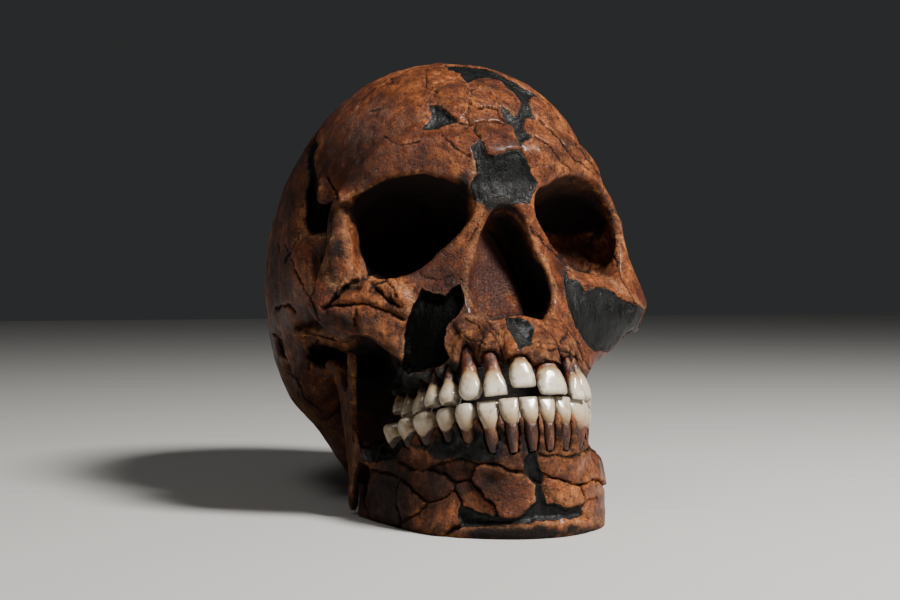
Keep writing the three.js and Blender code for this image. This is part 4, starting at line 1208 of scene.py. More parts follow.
def blots(pixel, seen, points, ovals, seed):
    total = np.zeros(len(points))
    wander = noise(points, 7, seed) * 0.5 + noise(points, 2.5, seed + 1) * 0.4
    for centre, size, strength in ovals:
        away = np.linalg.norm((pixel - centre) / np.array(size, float), axis=1)
        total = np.maximum(total, strength * np.clip(1.3 - away + wander, 0, 1))
    return np.where(seen, total, 0.0)


def areas(pixel, scale, seen, outlines):
    """How far points are inside any of the outlines, from 0 at their border to 1."""
    total = np.zeros(len(pixel))
    for outline in outlines:
        inside = -near_only(pixel, scale, seen, outline, outline_distance)
        total = np.maximum(total, step_up(inside, -0.3, 0.5))
    return total


def hidden_fragments(points, seeds, seed):
    """Distance to the nearest fragment border, and the step of each fragment."""
    rng = np.random.default_rng(seed)
    centre = rng.normal(size=(seeds, 3))
    away = centre / np.linalg.norm(centre, axis=1, keepdims=True)
    centre = away * rng.uniform(55, 95, (seeds, 1)) + (0, 5, 25)
    rise = rng.uniform(-1, 1, seeds)
    moved = points + np.stack([noise(points, 9, seed + k) for k in (1, 2, 3)], -1) * 3.0
    first = np.full(len(points), 1e9)
    second = np.full(len(points), 1e9)
    owner = np.zeros(len(points), int)
    for k, c in enumerate(centre):
        away = np.linalg.norm(moved - c, axis=1)
        closer = away < first
        second = np.where(closer, first, np.minimum(second, away))
        first = np.where(closer, away, first)
        owner[closer] = k
    return (second - first) * 0.5, rise[owner]


def bone(field, fillers, cracks, ovals, general, seeds):
    """The mesh of a bone with its cracks and gaps, and the fillers that are set in it."""
    points, faces = field.surface()
    points = field.settle(points)
    points, faces = refine_to(points, faces, general, field.settle)

    def close(p):
        to_filler, to_crack = mark_distances(field, p, fillers, cracks)
        nearest = np.min([np.abs(d) for d in to_filler.values()] + to_crack, axis=0)
        return np.minimum(general(p), CRACK_EDGE + CRACK_EDGE_GROWTH * np.maximum(nearest - 0.5, 0))

    points, faces = refine_to(points, faces, close, field.settle, rounds=3)
    to_filler, _ = mark_distances(field, points, fillers, cracks)
    gap = np.min(list(to_filler.values()), axis=0)
    on_rim = np.abs(gap) < ON_RIM
    gap[on_rim] = 0.0

    def crosses(a, b):
        return (gap[a] * gap[b] < 0) & (np.abs(gap[a] - gap[b]) < 4)

    def crossing(a, b):
        return gap[a] / (gap[a] - gap[b])

    before = len(points)
    points, faces, _ = refine(points, faces, crosses, crossing)
    points[before:] = field.settle(points[before:], 1)
    normal = normals(points, faces)
    to_filler, to_crack = mark_distances(field, points, fillers, cracks)
    for d in to_filler.values():
        d[before:] = np.where(np.abs(d[before:]) < NEAR_RIM, 0.0, d[before:])
        d[:before][on_rim & (np.abs(d[:before]) < NEAR_RIM)] = 0.0
    gap = np.min(list(to_filler.values()), axis=0)

    pixel, scale, seen = shows(field, points, normal)
    relief = 0.45 * noise(points, 14, 11) + 0.2 * noise(points, 5, 12) + 0.1 * noise(points, 2.2, 13)
    rim, rise = hidden_fragments(points, seeds, 21)
    broken = step_up(noise(points, 20, 31), -0.35, 0.1) * ~seen
    groove = np.zeros(len(points))
    depth = np.zeros(len(points))
    for (half, deep, _), d in zip(cracks, to_crack):
        half_here = half * 0.85 * (1 + 0.8 * noise(points, 4, 41))
        depth = np.maximum(depth, deep * np.clip(1 - d / (half_here * 1.6), 0, 1))
        groove = np.maximum(groove, 1 - step_up(d, half_here * 0.35, half_here * 1.25))
    hidden_groove = broken * (1 - step_up(rim, 0.15, 0.6))
    groove = np.maximum(groove, hidden_groove)
    depth = np.maximum(depth, 0.6 * hidden_groove)
    relief = relief + 0.3 * rise * broken * step_up(rim, 0.2, 0.7)
    rough_pixel = wobbled(points, pixel)
    spongy_and_highlight = np.zeros(len(points))
    for half, strength, line in ovals["spongy_and_highlight"]:
        uneven = half * (1 + 0.5 * noise(points, 3, 53))
        away = near_only(rough_pixel, scale, seen, line, line_distance) / uneven
        spongy_and_highlight = np.maximum(spongy_and_highlight, strength * np.exp(-(away**2)))
    relief = relief + spongy_and_highlight * (0.6 * noise(points, 1.3, 52) - 0.3)
    rims = np.zeros(len(points))
    for half, rise, strength, line in ovals["rims"]:
        hill = np.exp(-((near_only(pixel, scale, seen, line, line_distance) / half) ** 2))
        relief = relief + rise * hill
        rims = np.maximum(rims, strength * hill)
    crumbled = np.clip(blots(pixel, seen, points, ovals["crumbled"], 65), 0, 1)
    grains = noise(points, 2.3, 66) + 0.6 * noise(points, 1.1, 67)
    relief = relief + 0.42 * crumbled * grains
    chipped = crumbled * step_up(grains, 0.3, 0.9)
    tint = np.zeros(len(points))
    for rise, outline in ovals["fragments"]:
        inside = -near_only(rough_pixel, scale, seen, outline, outline_distance)
        lean = noise(np.array([outline[0] + (0,), outline[1] + (0,)]), 5, 58)
        tilted = ((pixel - np.mean(outline, axis=0)) * lean).sum(1) * 0.022
        relief = relief + (1.25 * rise + np.clip(tilted, -0.7, 0.7)) * step_up(inside, 0.0, 0.55)
        chipped = np.maximum(chipped, 1.1 * rise * np.exp(-((inside - 0.4) / 0.3) ** 2))
        tint = np.where(inside > 0, noise(np.array([outline[0] + (0,)]), 9, 57)[0], tint)
    relief = relief * np.clip((to_floor(points)[:, 2] - FLOOR) / 5, 0, 1)
    around = field_normals(field, points)
    # Concavity at two reaches: the mask of the shade painted in hollows
    hollow = 1 - field.sample(points + around * 5.0) / 5.0
    deep = 1 - field.sample(points + around * 13.0) / 13.0
    ridge = 1 + field.sample(points - around * 3.0) / 3.0
    lit = 1 - 0.85 * areas(rough_pixel, scale, seen, ovals["lit"])

    pieces = {}
    base = points + normal * relief[:, None]
    wide = field_normals(field, points, 3.0)
    for piece, (_, recess, thick) in fillers.items():
        inside = (to_filler[piece][faces] <= 0).all(1) & (to_filler[piece][faces] < 0).any(1)
        patch, loose, used = pruned(base, faces[inside])
        if len(loose):
            pieces[piece] = plug(patch, loose, wide[used], -to_filler[piece][used], recess, thick)
        else:
            raise ValueError(f"nothing of {piece} shows")
    pit = np.zeros(len(points))
    for piece, (_, recess, thick) in fillers.items():
        d = to_filler[piece]
        pit = np.maximum(pit, (recess + thick + 0.5) * np.clip(-d / 0.35, 0, 1) * (d < 0))
    depth = np.where(gap < 0, 0, depth)
    points = base - normal * depth[:, None] - wide * pit[:, None]
    edge = np.exp(-((gap - 0.3) / 0.35) ** 2) * (gap > -0.05) * step_up(noise(points, 3, 61), 0.0, 0.5)
    marks = {
        "groove": np.maximum(groove, np.clip(pit, 0, 1)),
        # Spongy broken rims, and a painted highlight along the right brow
        "broken_edge_and_highlight": np.maximum(spongy_and_highlight, 0.5 * edge),
        # Worn edges, and a painted highlight on the right brow rim
        "worn_edge_and_highlight": np.clip(np.max([chipped, rims, 1.3 * step_up(ridge, 0.25, 0.7)], axis=0), 0, 1),
        # Painted shade in concave places, lifted on lit walls and raised rims
        "hollow": np.clip(np.maximum(step_up(hollow, 0.08, 0.8), step_up(deep, 0.15, 0.75)), 0, 1)
                  * lit * (1 - np.clip(1.4 * rims, 0, 1)),
        "tint": tint,
        # Painted shade deep in the eye sockets and the nose, and in the recesses that no light reaches
        "depths": np.maximum(depths(points) * lit, areas(rough_pixel, scale, seen, ovals["shadows"])
                             * step_up(points[:, 1], -89, -85)),
        # Dark filler smears, and painted shade at the top of the nasal slit
        "smear_and_shade": areas(rough_pixel, scale, seen, ovals["smears_and_shade"]),
        # Paler bone, partly painted light
        "pale_and_lit": blots(pixel, seen, points, ovals["pale_and_lit"], 71),
        # Real stains, darker pits of crumbled bone and painted shade
        "stain_and_shade": np.maximum(blots(pixel, seen, points, ovals["dark"], 81),
                            crumbled * step_up(-grains, 0.1, 0.6)),
        # Painted highlight on the right forehead
        "painted_sheen": blots(pixel, seen, points, ovals["painted_sheen"], 91),
        # Dull nasal lining, partly painted shade
        "lining_and_shade": (np.clip(blots(pixel, seen, points, ovals["lining_and_shade"], 95), 0, 1)
                   * step_up(points[:, 1], -91, -86)),
        # Painted shade under the braincase and behind the teeth
        "inside": underside(points),
    }
    return points, faces, marks, pieces


def depths(points):
    """How far inside an eye socket or the nose a point is, from 0 at the rim to 1: the mask of the shade
    painted there.
    """
    x, y, z = points.T
    across = np.abs(x)
    outside = outline_distance(np.column_stack([across, z]), curve(ORBIT_RIM, 3, closed=True))
    low = mix(-97, -59, np.clip((across - 20) / 29, 0, 1))
    brow = np.interp(across, (12, 28, 41, 49, 54), (-97, -93, -84, -74, -67))
    roof = step_up(z, 15, 23)
    front = mix(low, brow, roof)
    eye = step_up(y, front - 0.8 * roof, front + mix(12, 1.0, roof)) * (1 - step_up(outside, 0.2, 1.0))
    eye = eye * np.where(x > 0, 0.85, 1)
    for side, (centre, size) in ORBIT_HOLLOWS.items():
        place = np.linalg.norm((np.column_stack([x * side, y, z]) - centre) / size, axis=1)
        eye = np.maximum(eye, (1 - step_up(place, 1.08, 1.2)) * step_up(y, front + 0.5, front + 5))
    nose = step_up(y, -77, -67) * (across < 18) * (z < 15) * (z > -29)
    return np.maximum(eye, nose) * (y < -38)


def underside(points):
    """How far a point is under the braincase and behind the teeth: the mask of the shade painted there."""
    x, y, z = points.T
    along = step_up(y, -66, -50) * (1 - step_up(y, 8, 30))
    return along * (1 - step_up(z, -10, 2)) * (1 - step_up(np.abs(x), 41, 46))


def field_normals(field, points, reach=0.8):
    normal = field.slope(points, reach)
    return normal / np.maximum(np.linalg.norm(normal, axis=1, keepdims=True), 1e-6)


def plug(patch, faces, normal, inward, recess, thick):
    """A closed plate of filler under a patch of the surface. inward is the distance from its rim."""
    count = len(patch)
    sides = np.stack([faces, np.roll(faces, -1, axis=1)], -1).reshape(-1, 2)
    key = sides[:, 0] * count + sides[:, 1]
    rim = sides[~np.isin(key, sides[:, 1] * count + sides[:, 0])]
    streak = 0.22 * noise(patch * (1, 1, 0.35), 2.2, 101) + 0.1 * noise(patch, 0.9, 102)
    sag = recess * step_up(inward, 0, 1.5) + 0.12
    top = patch - normal * (sag - streak * step_up(inward, 0, 1))[:, None]
    bottom = patch - normal * (recess + thick)
    middle = patch.mean(0)
    draw = np.where(inward < 0.05, 0.12, 0.0)[:, None]
    toward = middle - patch
    toward -= (toward * normal).sum(1, keepdims=True) * normal
    toward /= np.maximum(np.linalg.norm(toward, axis=1, keepdims=True), 1e-6)
    top, bottom = top + toward * draw, bottom + toward * draw
    a, b = rim[:, 0], rim[:, 1]
    walls = np.concatenate([np.stack([b, a, a + count], -1), np.stack([b, a + count, b + count], -1)])
    return np.concatenate([top, bottom]), np.concatenate([faces, faces[:, ::-1] + count, walls])


def new_piece(name, points, faces, marks=None):
    mesh = bpy.data.meshes.new(name)
    place = to_world(points)
    mesh.vertices.add(len(place))
    mesh.vertices.foreach_set("co", place.astype(np.float32).ravel())
    mesh.loops.add(3 * len(faces))
    mesh.loops.foreach_set("vertex_index", faces.astype(np.int32).ravel())
    mesh.polygons.add(len(faces))
    mesh.polygons.foreach_set("loop_start", np.arange(0, 3 * len(faces), 3, dtype=np.int32))
    mesh.polygons.foreach_set("use_smooth", np.full(len(faces), True))
    mesh.update(calc_edges=True)
    mesh.validate()
    for key, values in (marks or {}).items():
        layer = mesh.attributes.new(key, "FLOAT", "POINT")
        layer.data.foreach_set("value", np.asarray(values, np.float32))
    piece = bpy.data.objects.new(name, mesh)
    bpy.context.collection.objects.link(piece)
    return piece


# Length of root left bare by the worn bone around it, in the upper and in the lower jaw
BARE_UPPER = {
    "upper_right_canine": 13, "upper_right_first_premolar": 9, "upper_right_second_premolar": 8,
    "upper_right_first_molar": 7, "upper_right_second_molar": 6, "upper_right_third_molar": 5,
    "upper_right_lateral_incisor": 7.5, "upper_right_central_incisor": 1, "upper_left_central_incisor": 0.5,
    "upper_left_lateral_incisor": 5, "upper_left_canine": 6, "upper_left_first_premolar": 5,
    "upper_left_second_premolar": 5, "upper_left_first_molar": 5, "upper_left_second_molar": 4,
    "upper_left_third_molar": 3,
}
BARE_LOWER = {"central_incisor": 5, "lateral_incisor": 5.5, "canine": 6.5, "first_premolar": 5,
              "second_premolar": 4.5, "first_molar": 2.5, "second_molar": 2, "third_molar": 2}
# Room around a root in its socket
SOCKET_ROOM = 0.35
# How dull the enamel of single teeth is, and that of the other lower ones. On the back teeth of the right
# side the darkening is painted shade
DULL_AND_SHADE = {
    "upper_right_first_premolar": 0.35, "upper_right_second_premolar": 0.5,
    "upper_right_first_molar": 0.6, "upper_right_second_molar": 0.7, "upper_right_third_molar": 0.8,
    "upper_left_canine": 0.2, "upper_left_first_premolar": 0.25,
    "lower_right_first_premolar": 0.35, "lower_right_second_premolar": 0.45,
    "lower_right_first_molar": 0.5, "lower_right_second_molar": 0.6, "lower_right_third_molar": 0.6,
}
DULL_LOWER = 0.3


def set_teeth(field, jaw):
    """Worn bone around the roots, and a socket for each tooth of a jaw."""
    teeth = [t for t in every_tooth() if t[3] == jaw]
    for name, row, side, _, moved in teeth:
        width, depth, crown, length = row[3:7]
        tip, root, outward, along = tooth_axes(row, side, jaw, moved)
        deep = BARE_UPPER[name] if jaw == "upper" else BARE_LOWER[row[0]]
        middle = tip + root * (crown + length) / 2
        if deep < 2:
            collar = lump((0, 0, 0), (0.62 * width, 0.75 * depth, 4))
            field.add(tip + root * (crown + 3.2) + collar @ np.array([along, outward, root]), 2)
        if jaw == "upper":
            bulge = lump((0, 0, 0), (0.5 * width, 0.55 * depth, 0.62 * (length - crown) + 3))
            field.add(middle + root * 3 + outward * 0.2 + bulge @ np.array([along, outward, root]), 2.5)
        worn = lump((0, 0, 0), (0.56 * width, 2.4, 0.5 * deep + 1.2))
        at = tip + root * (crown + 0.5 * deep - 0.5) + outward * (0.5 * depth + 0.9)
        field.cut(at + worn @ np.array([along, outward, root]), 1.2)
    for _, row, side, _, moved in teeth:
        field.cut(tooth_rings(row, side, jaw, moved, fine=3, around=24, grow=SOCKET_ROOM), 0.2)


def tooth(name, row, side, jaw, moved):
    width, crown = row[3], row[5]
    tip, root, _, along = tooth_axes(row, side, jaw, moved)
    points, faces = skin(tooth_rings(row, side, jaw, moved, fine=7, around=44))
    height = (points - tip) @ root / crown
    across = (points - tip) @ along / width
    line = 1.0 + 0.12 * np.cos(across * 2 * math.pi) - 0.06 + 0.05 * noise(points, 2.0, 111)
    below = step_up(height, line - 0.05, line + 0.03)
    centre = tip + np.outer((points - tip) @ root, root)
    out = points - centre
    out /= np.maximum(np.linalg.norm(out, axis=1, keepdims=True), 1e-6)
    swell = 0.1 * noise(points, 2.5, 112) + 0.12 * below * noise(points * (1, 1, 0.4), 1.3, 113)
    swell -= 0.1 * np.exp(-((height - line) / 0.05) ** 2)
    points = points + out * swell[:, None]
    flank = step_up(np.abs(across), 0.24, 0.48)
    # Duller enamel; on the right back teeth, painted shade
    dull_and_shade = DULL_AND_SHADE.get(name, DULL_LOWER if jaw == "lower" else 0.0)
    marks = {"root": below, "down": np.clip(height, 0, 2), "flank": flank, "dull_and_shade": np.full(len(points), dull_and_shade)}
    return new_piece(f"{name}_tooth", points, faces, marks)


# Finishes


class Finish:
    """A material or a group of nodes that is put together step by step."""

    def __init__(self, tree):
        self.tree = tree

    def node(self, kind, links=(), **settings):
        made = self.tree.nodes.new(kind)
        for key, value in settings.items():
            setattr(made, key, value)
        for socket, value in dict(links).items():
            where = made.inputs[socket]
            if isinstance(value, bpy.types.NodeSocket):
                self.tree.links.new(value, where)
            else:
                where.default_value = value
        return made

    def place(self):
        return self.node("ShaderNodeTexCoord").outputs["Object"]

    def stretched(self, place, scale):
        return self.node("ShaderNodeMapping", {"Vector": place, "Scale": scale}).outputs[0]

    def noise(self, place, scale, detail=4.0, rough=0.55):
        links = {"Vector": place, "Scale": scale, "Detail": detail, "Roughness": rough}
        return self.node("ShaderNodeTexNoise", links).outputs["Fac"]

    def ramp(self, value, stops):
        made = self.node("ShaderNodeValToRGB", {"Fac": value})
        elements = made.color_ramp.elements
        while len(elements) < len(stops):
            elements.new(0.5)
        for element, (place, colour) in zip(elements, stops):
            element.position = place
            element.color = (*colour, 1) if isinstance(colour, tuple) else (colour, colour, colour, 1)
        return made.outputs["Color"]

    def blend(self, share, a, b, kind="MIX"):
        made = self.node("ShaderNodeMix", data_type="RGBA", blend_type=kind)
        for socket, value in zip((made.inputs[0], made.inputs[6], made.inputs[7]), (share, a, b)):
            if isinstance(value, bpy.types.NodeSocket):
                self.tree.links.new(value, socket)
            else:
                socket.default_value = (*value, 1) if isinstance(value, tuple) else value
        return made.outputs[2]

    def sum(self, a, b, kind="ADD", limit=False):
        return self.node("ShaderNodeMath", {0: a, 1: b}, operation=kind, use_clamp=limit).outputs[0]

    def mark(self, name):
        return self.node("ShaderNodeAttribute", attribute_name=name).outputs["Fac"]

    def bump(self, height, distance, strength):
        links = {"Height": height, "Distance": distance, "Strength": strength}
        return self.node("ShaderNodeBump", links).outputs["Normal"]


def new_material(name):
    material = bpy.data.materials.new(name)
    material.use_nodes = True
    finish = Finish(material.node_tree)
    surface = material.node_tree.nodes["Principled BSDF"]
    return material, finish, surface


def put(finish, surface, **values):
    for key, value in values.items():
        socket = surface.inputs[key.replace("_", " ")]
        if isinstance(value, bpy.types.NodeSocket):
            finish.tree.links.new(value, socket)
        else:
            socket.default_value = value


def weathering_group():
    """Fine pits and grime that every surface of the skull shares."""
    tree = bpy.data.node_groups.new("weathering", "ShaderNodeTree")
    tree.interface.new_socket(name="Grime", in_out="OUTPUT", socket_type="NodeSocketFloat")
    tree.interface.new_socket(name="Pits", in_out="OUTPUT", socket_type="NodeSocketFloat")
    finish = Finish(tree)
    place = finish.place()
    grime = finish.ramp(finish.noise(place, 210, 6, 0.62), [(0.42, 0.0), (0.62, 1.0)])
    pits = finish.ramp(finish.noise(place, 1400, 5, 0.6), [(0.3, 0.0), (0.5, 1.0)])
    out = finish.node("NodeGroupOutput")
    tree.links.new(grime, out.inputs["Grime"])
    tree.links.new(pits, out.inputs["Pits"])
    return tree


def bone_material(weathering):
    material, f, surface = new_material("fossil_bone")
    place = f.place()
    worn = f.node("ShaderNodeGroup", node_tree=weathering)
    grime, pits = worn.outputs["Grime"], worn.outputs["Pits"]
    broad = f.noise(place, 34, 7, 0.6)
    fibre = f.noise(f.stretched(place, (1.0, 1.0, 0.35)), 420, 5, 0.6)
    mottled = f.sum(f.sum(broad, 0.62, "MULTIPLY"), f.sum(f.noise(place, 190, 6, 0.6), 0.38, "MULTIPLY"))
    mottled = f.sum(mottled, f.sum(f.mark("tint"), 0.07, "MULTIPLY"))
    colour = f.ramp(mottled, [(0.405, (0.026, 0.006, 0.002)), (0.47, (0.11, 0.025, 0.0065)),
                              (0.54, (0.26, 0.067, 0.016)), (0.615, (0.52, 0.175, 0.05))])
    # Paler bone, partly painted light
    pale_and_lit = f.sum(f.mark("pale_and_lit"), f.ramp(f.noise(place, 170, 6, 0.6), [(0.4, 0.2), (0.57, 1.0)]),
                 "MULTIPLY", True)
    colour = f.blend(pale_and_lit, colour, (0.58, 0.19, 0.052))
    # Worn, paler edges; on the right brow rim a painted highlight
    worn_edge_and_highlight = f.sum(f.mark("worn_edge_and_highlight"), f.ramp(f.noise(place, 330, 5), [(0.42, 0.0), (0.6, 0.75)]),
                      "MULTIPLY", True)
    colour = f.blend(worn_edge_and_highlight, colour, (0.62, 0.25, 0.09))
    specks = f.ramp(f.noise(place, 480, 5, 0.7), [(0.53, 0.0), (0.63, 0.85)])
    colour = f.blend(specks, colour, (0.025, 0.008, 0.005))
    colour = f.blend(f.sum(grime, 0.5, "MULTIPLY"), colour, (0.07, 0.018, 0.009))
    colour = f.blend(f.ramp(fibre, [(0.35, 0.55), (0.58, 0.0)]), colour, (0.06, 0.014, 0.006))
    # Painted highlight: a greyish sheen on the right forehead
    painted_sheen = f.sum(f.mark("painted_sheen"), f.ramp(f.noise(place, 260, 6, 0.65), [(0.4, 0.1), (0.65, 0.8)]),
                  "MULTIPLY", True)
    colour = f.blend(painted_sheen, colour, (0.2, 0.1, 0.07))
    # Real stains and painted shade darken the bone
    stain_and_shade = f.sum(f.mark("stain_and_shade"), f.ramp(f.noise(place, 160, 5), [(0.3, 1.0), (0.65, 0.5)]),
                  "MULTIPLY", True)
    # Dull nasal lining, partly painted shade
    colour = f.blend(f.sum(f.mark("lining_and_shade"), 0.9, "MULTIPLY", True), colour, (0.05, 0.022, 0.018))
    colour = f.blend(stain_and_shade, colour, (0.012, 0.004, 0.002))
    # Pale broken edges, and a painted highlight along the right brow
    spots = f.ramp(f.noise(place, 900, 4, 0.7), [(0.4, 0.05), (0.6, 1.0)])
    edge = f.sum(f.mark("broken_edge_and_highlight"), spots, "MULTIPLY", True)
    colour = f.blend(f.sum(edge, 0.8, "MULTIPLY"), colour, (0.46, 0.25, 0.13))
    # Painted shade in concave places
    colour = f.blend(f.sum(f.mark("hollow"), 0.85, "MULTIPLY"), colour, (0.014, 0.004, 0.0025))
    # Painted shade in the eye sockets and the nose
    colour = f.blend(f.sum(f.mark("depths"), 0.97, "MULTIPLY"), colour, (0.004, 0.0012, 0.0005))
    # Painted shade under the braincase
    colour = f.blend(f.sum(f.mark("inside"), 0.9, "MULTIPLY"), colour, (0.004, 0.0013, 0.0006))
    # Dark filler smears, and painted shade at the top of the nasal slit
    smear_and_shade = f.mark("smear_and_shade")
    smeared = f.ramp(f.noise(place, 300, 5), [(0.4, (0.003, 0.0035, 0.0035)), (0.62, (0.016, 0.017, 0.0165))])
    # The smeared filler is lighter under the pale ovals, partly painted light
    smeared = f.blend(pale_and_lit, smeared, (0.075, 0.078, 0.072))
    colour = f.blend(f.sum(smear_and_shade, 0.95, "MULTIPLY"), colour, smeared)
    groove = f.mark("groove")
    colour = f.blend(groove, colour, (0.004, 0.0025, 0.002))
    height = f.sum(f.sum(broad, 1.5, "MULTIPLY"), f.sum(f.noise(place, 330, 6, 0.65), 1.0, "MULTIPLY"))
    height = f.sum(height, f.sum(pits, 0.3, "MULTIPLY"))
    height = f.sum(height, f.sum(f.mark("stain_and_shade"), f.noise(place, 600, 5, 0.7), "MULTIPLY"))
    rough = f.sum(f.ramp(f.noise(place, 180, 5), [(0.35, 0.32), (0.65, 0.54)]),
                  f.sum(edge, 0.4, "MULTIPLY"), "ADD", True)
    rough = f.sum(rough, f.sum(f.sum(worn_edge_and_highlight, edge), 0.6, "MULTIPLY"), "ADD", True)
    rough = f.sum(rough, f.sum(groove, 1.2, "MULTIPLY"), "ADD", True)
    rough = f.sum(rough, f.sum(f.sum(stain_and_shade, f.mark("depths")), 0.3, "MULTIPLY"), "ADD", True)
    dulled = f.sum(f.sum(worn_edge_and_highlight, edge), f.sum(f.mark("groove"), 4.0, "MULTIPLY"))
    dulled = f.sum(f.sum(stain_and_shade, f.mark("depths")), f.sum(f.mark("inside"), dulled), "ADD", True)
    shine = f.ramp(dulled, [(0.0, 0.18), (0.6, 0.0)])
    put(f, surface, Base_Color=colour, Roughness=rough, Normal=f.bump(height, 0.0015, 0.95),
        Specular_IOR_Level=0.26, Coat_Weight=shine, Coat_Roughness=0.2)
    return material


def filler_material(weathering, name, tones, rough, shine):
    material, f, surface = new_material(name)
    place = f.place()
    worn = f.node("ShaderNodeGroup", node_tree=weathering)
    brushed = f.noise(f.stretched(place, (1.0, 1.0, 0.3)), 380, 5, 0.6)
    colour = f.ramp(brushed, [(0.4, tones[0]), (0.62, tones[1])])
    colour = f.blend(f.sum(worn.outputs["Grime"], 0.3, "MULTIPLY"), colour, tones[2])
    height = f.sum(brushed, f.sum(worn.outputs["Pits"], 0.12, "MULTIPLY"))
    put(f, surface, Base_Color=colour, Roughness=rough, Normal=f.bump(height, 0.0009, 0.9),
        Specular_IOR_Level=shine)
    return material


def tooth_material(weathering):
    material, f, surface = new_material("enamel_and_root")
    place = f.place()
    worn = f.node("ShaderNodeGroup", node_tree=weathering)
    root, down = f.mark("root"), f.mark("down")
    enamel = f.ramp(down, [(0.0, (0.6, 0.52, 0.4)), (0.12, (0.84, 0.78, 0.66)), (0.5, (0.72, 0.61, 0.45)),
                           (0.78, (0.47, 0.33, 0.18)), (0.98, (0.16, 0.065, 0.024))])
    # Duller enamel, and painted shade on the right back teeth
    enamel = f.blend(f.mark("dull_and_shade"), enamel, (0.27, 0.2, 0.13))
    enamel = f.blend(f.sum(worn.outputs["Grime"], 0.3, "MULTIPLY"), enamel, (0.36, 0.24, 0.14))
    patchy = f.ramp(f.noise(place, 420, 5, 0.6), [(0.38, 0.15), (0.62, 0.85)])
    enamel = f.blend(f.sum(f.mark("flank"), patchy, "MULTIPLY"), enamel, (0.09, 0.038, 0.015))
    streaks = f.ramp(f.noise(f.stretched(place, (1.0, 1.0, 0.25)), 620, 5, 0.65), [(0.54, 0.0), (0.66, 0.55)])
    enamel = f.blend(streaks, enamel, (0.3, 0.19, 0.1))
    bare = f.ramp(f.noise(f.stretched(place, (1.0, 1.0, 0.4)), 300, 5), [(0.38, (0.02, 0.005, 0.002)),
                  (0.52, (0.09, 0.024, 0.008)), (0.7, (0.3, 0.11, 0.04))])
    # Darker bare roots on the same teeth, partly painted shade
    bare = f.blend(f.sum(f.mark("dull_and_shade"), 1.5, "MULTIPLY", True), bare, (0.02, 0.006, 0.003))
    colour = f.blend(root, enamel, bare)
    rough = f.ramp(root, [(0.0, 0.16), (1.0, 0.42)])
    height = f.sum(f.sum(root, worn.outputs["Pits"], "MULTIPLY"),
                   f.sum(f.noise(place, 260, 3), 0.6, "MULTIPLY"))
    put(f, surface, Base_Color=colour, Roughness=rough, Normal=f.bump(height, 0.0004, 0.5),
        Coat_Weight=f.ramp(root, [(0.0, 0.3), (1.0, 0.05)]), Coat_Roughness=0.12)
    return material


def floor_material():
    material, f, surface = new_material("pale_floor")
    put(f, surface, Base_Color=(0.55, 0.545, 0.53, 1), Roughness=0.85)
    return material


# Skull


def cranium_target(points):
    x, y, z = points.T
    inward = ((points - (0, 5, 38)) * field_normals(cranium_shape, points)).sum(1) < 0
    inside = (x / 62) ** 2 + ((y - 5) / 92) ** 2 + ((z - 32) / 74) ** 2 < 1
    front = (y < -48) & (z < 54)
    return np.where(inward & inside & ~front, INSIDE_EDGE, np.where(front, FACE_EDGE, BACK_EDGE))


def jaw_target(points):
    return np.full(len(points), JAW_EDGE)


cranium_shape = cranium_field()
set_teeth(cranium_shape, "upper")
cranium_shape.smooth(1)
jaw_shape = jaw_field()
set_teeth(jaw_shape, "lower")

weathering = weathering_group()
fossil_bone = bone_material(weathering)
# Colours of the fillers: dark and light tone, and grime
GREY = ((0.0022, 0.0028, 0.0028), (0.009, 0.011, 0.011), (0.016, 0.012, 0.01))
# Darker, less shiny copy of the filler colours: painted shade on the right cheek filler
FILLER_SHADE_TONES = ((0.0005, 0.0007, 0.0005), (0.002, 0.0028, 0.0022), (0.003, 0.002, 0.0016))
# Darker copy of the filler colours: painted shade on the glabella filler
BROW_SHADE_TONES = ((0.0014, 0.0018, 0.0018), (0.0055, 0.0067, 0.0064), (0.01, 0.008, 0.0065))
dark_filler = filler_material(weathering, "dark_filler", GREY, 0.38, 0.24)
# Darker copies of the filler finish paint shade on the right cheek and glabella fillers
FILLER_FINISHES = {
    "right_cheek_filler": filler_material(weathering, "filler_in_painted_shade", FILLER_SHADE_TONES, 0.5, 0.06),
    "glabella_filler": filler_material(weathering, "brow_filler_in_painted_shade", BROW_SHADE_TONES, 0.4, 0.19),
}
enamel_and_root = tooth_material(weathering)

# Shape, fillers, cracks, lengths of edges, number of hidden fragments and marks of each bone
BONES = {
    "cranium": (cranium_shape, CRANIUM_FILLERS, CRANIUM_CRACKS, cranium_target, 46,
                {"spongy_and_highlight": SPONGY_AND_HIGHLIGHT, "pale_and_lit": PALE, "painted_sheen": PAINTED_SHEEN, "dark": DARK, "lining_and_shade": LINING_AND_SHADE,
                 "rims": RIMS, "crumbled": CRUMBLED, "smears_and_shade": SMEARS_AND_SHADE, "shadows": SHADOWS, "lit": LIT,
                 "fragments": CRANIUM_FRAGMENTS}),
    "mandible": (jaw_shape, JAW_FILLERS, JAW_CRACKS, jaw_target, 30,
                 {"spongy_and_highlight": JAW_SPONGY, "pale_and_lit": JAW_PALE, "painted_sheen": [], "dark": JAW_DARK, "lining_and_shade": [],
                  "rims": JAW_RIMS, "crumbled": JAW_CRUMBLED, "smears_and_shade": JAW_SMEARS, "shadows": [], "lit": [],
                  "fragments": JAW_FRAGMENTS}),
}
for name, (shape, fillers, cracks, target, seeds, ovals) in BONES.items():
    points, faces, marks, plugs = bone(shape, fillers, cracks, ovals, target, seeds)
    piece = new_piece(f"{name}_bone", points, faces, marks)
    piece.data.materials.append(fossil_bone)
    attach(piece, "root")
    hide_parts(name)
    for filler_name, (points, faces) in plugs.items():
        piece = new_piece(f"{filler_name}_plug", points, faces)
        piece.data.materials.append(FILLER_FINISHES.get(filler_name, dark_filler))
        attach(piece, "root")
        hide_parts(filler_name)

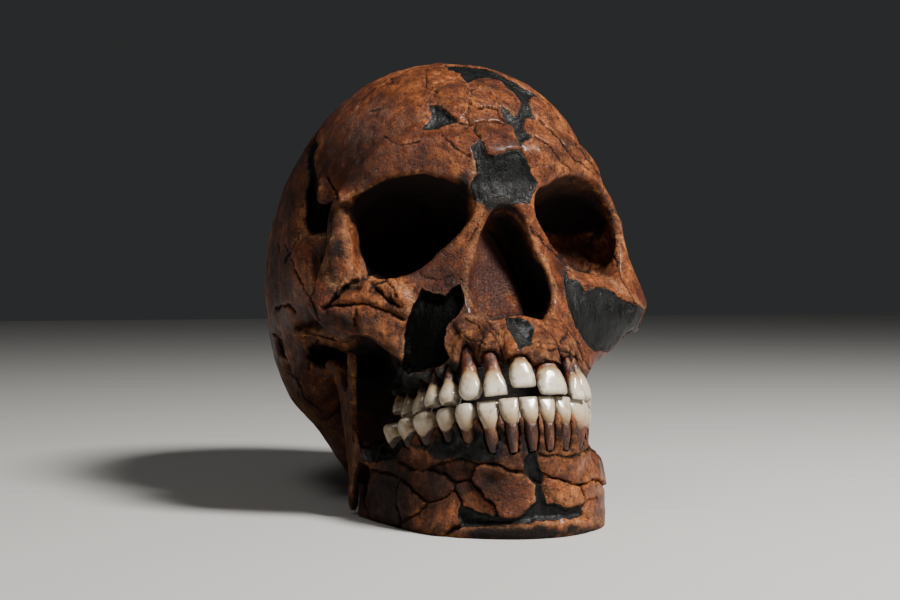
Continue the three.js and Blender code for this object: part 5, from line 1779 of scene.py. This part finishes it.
for name, row, side, jaw, moved in every_tooth():
    piece = tooth(name, row, side, jaw, moved)
    piece.data.materials.append(enamel_and_root)
    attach(piece, "root")
    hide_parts(name)

# Floor, camera and lights

FLOOR_HALF = 2.5
floor_mesh = bpy.data.meshes.new("floor")
floor_mesh.from_pydata(
    [(-FLOOR_HALF, -FLOOR_HALF, 0), (FLOOR_HALF, -FLOOR_HALF, 0), (FLOOR_HALF, FLOOR_HALF, 0),
     (-FLOOR_HALF, FLOOR_HALF, 0)], [], [(0, 1, 2, 3)])
floor = bpy.data.objects.new("floor", floor_mesh)
bpy.context.collection.objects.link(floor)
floor_mesh.materials.append(floor_material())

camera_data = bpy.data.cameras.new("camera")
camera_data.sensor_width = SENSOR
camera_data.lens = LENS_PIXELS * SENSOR / PICTURE[0]
camera = bpy.data.objects.new("camera", camera_data)
camera.location = (CAMERA_AT + REST_SHIFT) * MM
camera.rotation_euler = (math.pi / 2 - CAMERA_RISE, 0, CAMERA_TURN)
bpy.context.collection.objects.link(camera)
bpy.context.scene.camera = camera

MIDDLE = Vector((0.0, -0.03, 0.09))


def softbox(name, turn, rise, distance, size, power, colour=(1.0, 0.97, 0.93)):
    """A square lamp aimed at the skull. turn is to the camera's right, rise above the floor."""
    turn, rise = math.radians(turn) + CAMERA_TURN, math.radians(rise)
    away = Vector((math.sin(turn) * math.cos(rise), -math.cos(turn) * math.cos(rise), math.sin(rise)))
    data = bpy.data.lights.new(name, "AREA")
    data.size = size
    data.energy = power
    data.color = colour
    lamp = bpy.data.objects.new(name, data)
    lamp.location = MIDDLE + away * distance
    lamp.rotation_euler = away.to_track_quat("Z", "Y").to_euler()
    bpy.context.collection.objects.link(lamp)


softbox("key", 54, 49, 1.0, 0.22, 22.5)
softbox("side", -48, 66, 1.1, 0.4, 1.5)

world = bpy.data.worlds.new("studio")
world.use_nodes = True
world.node_tree.nodes["Background"].inputs["Color"].default_value = (0.8, 0.82, 0.85, 1)
world.node_tree.nodes["Background"].inputs["Strength"].default_value = 0.035
bpy.context.scene.world = world
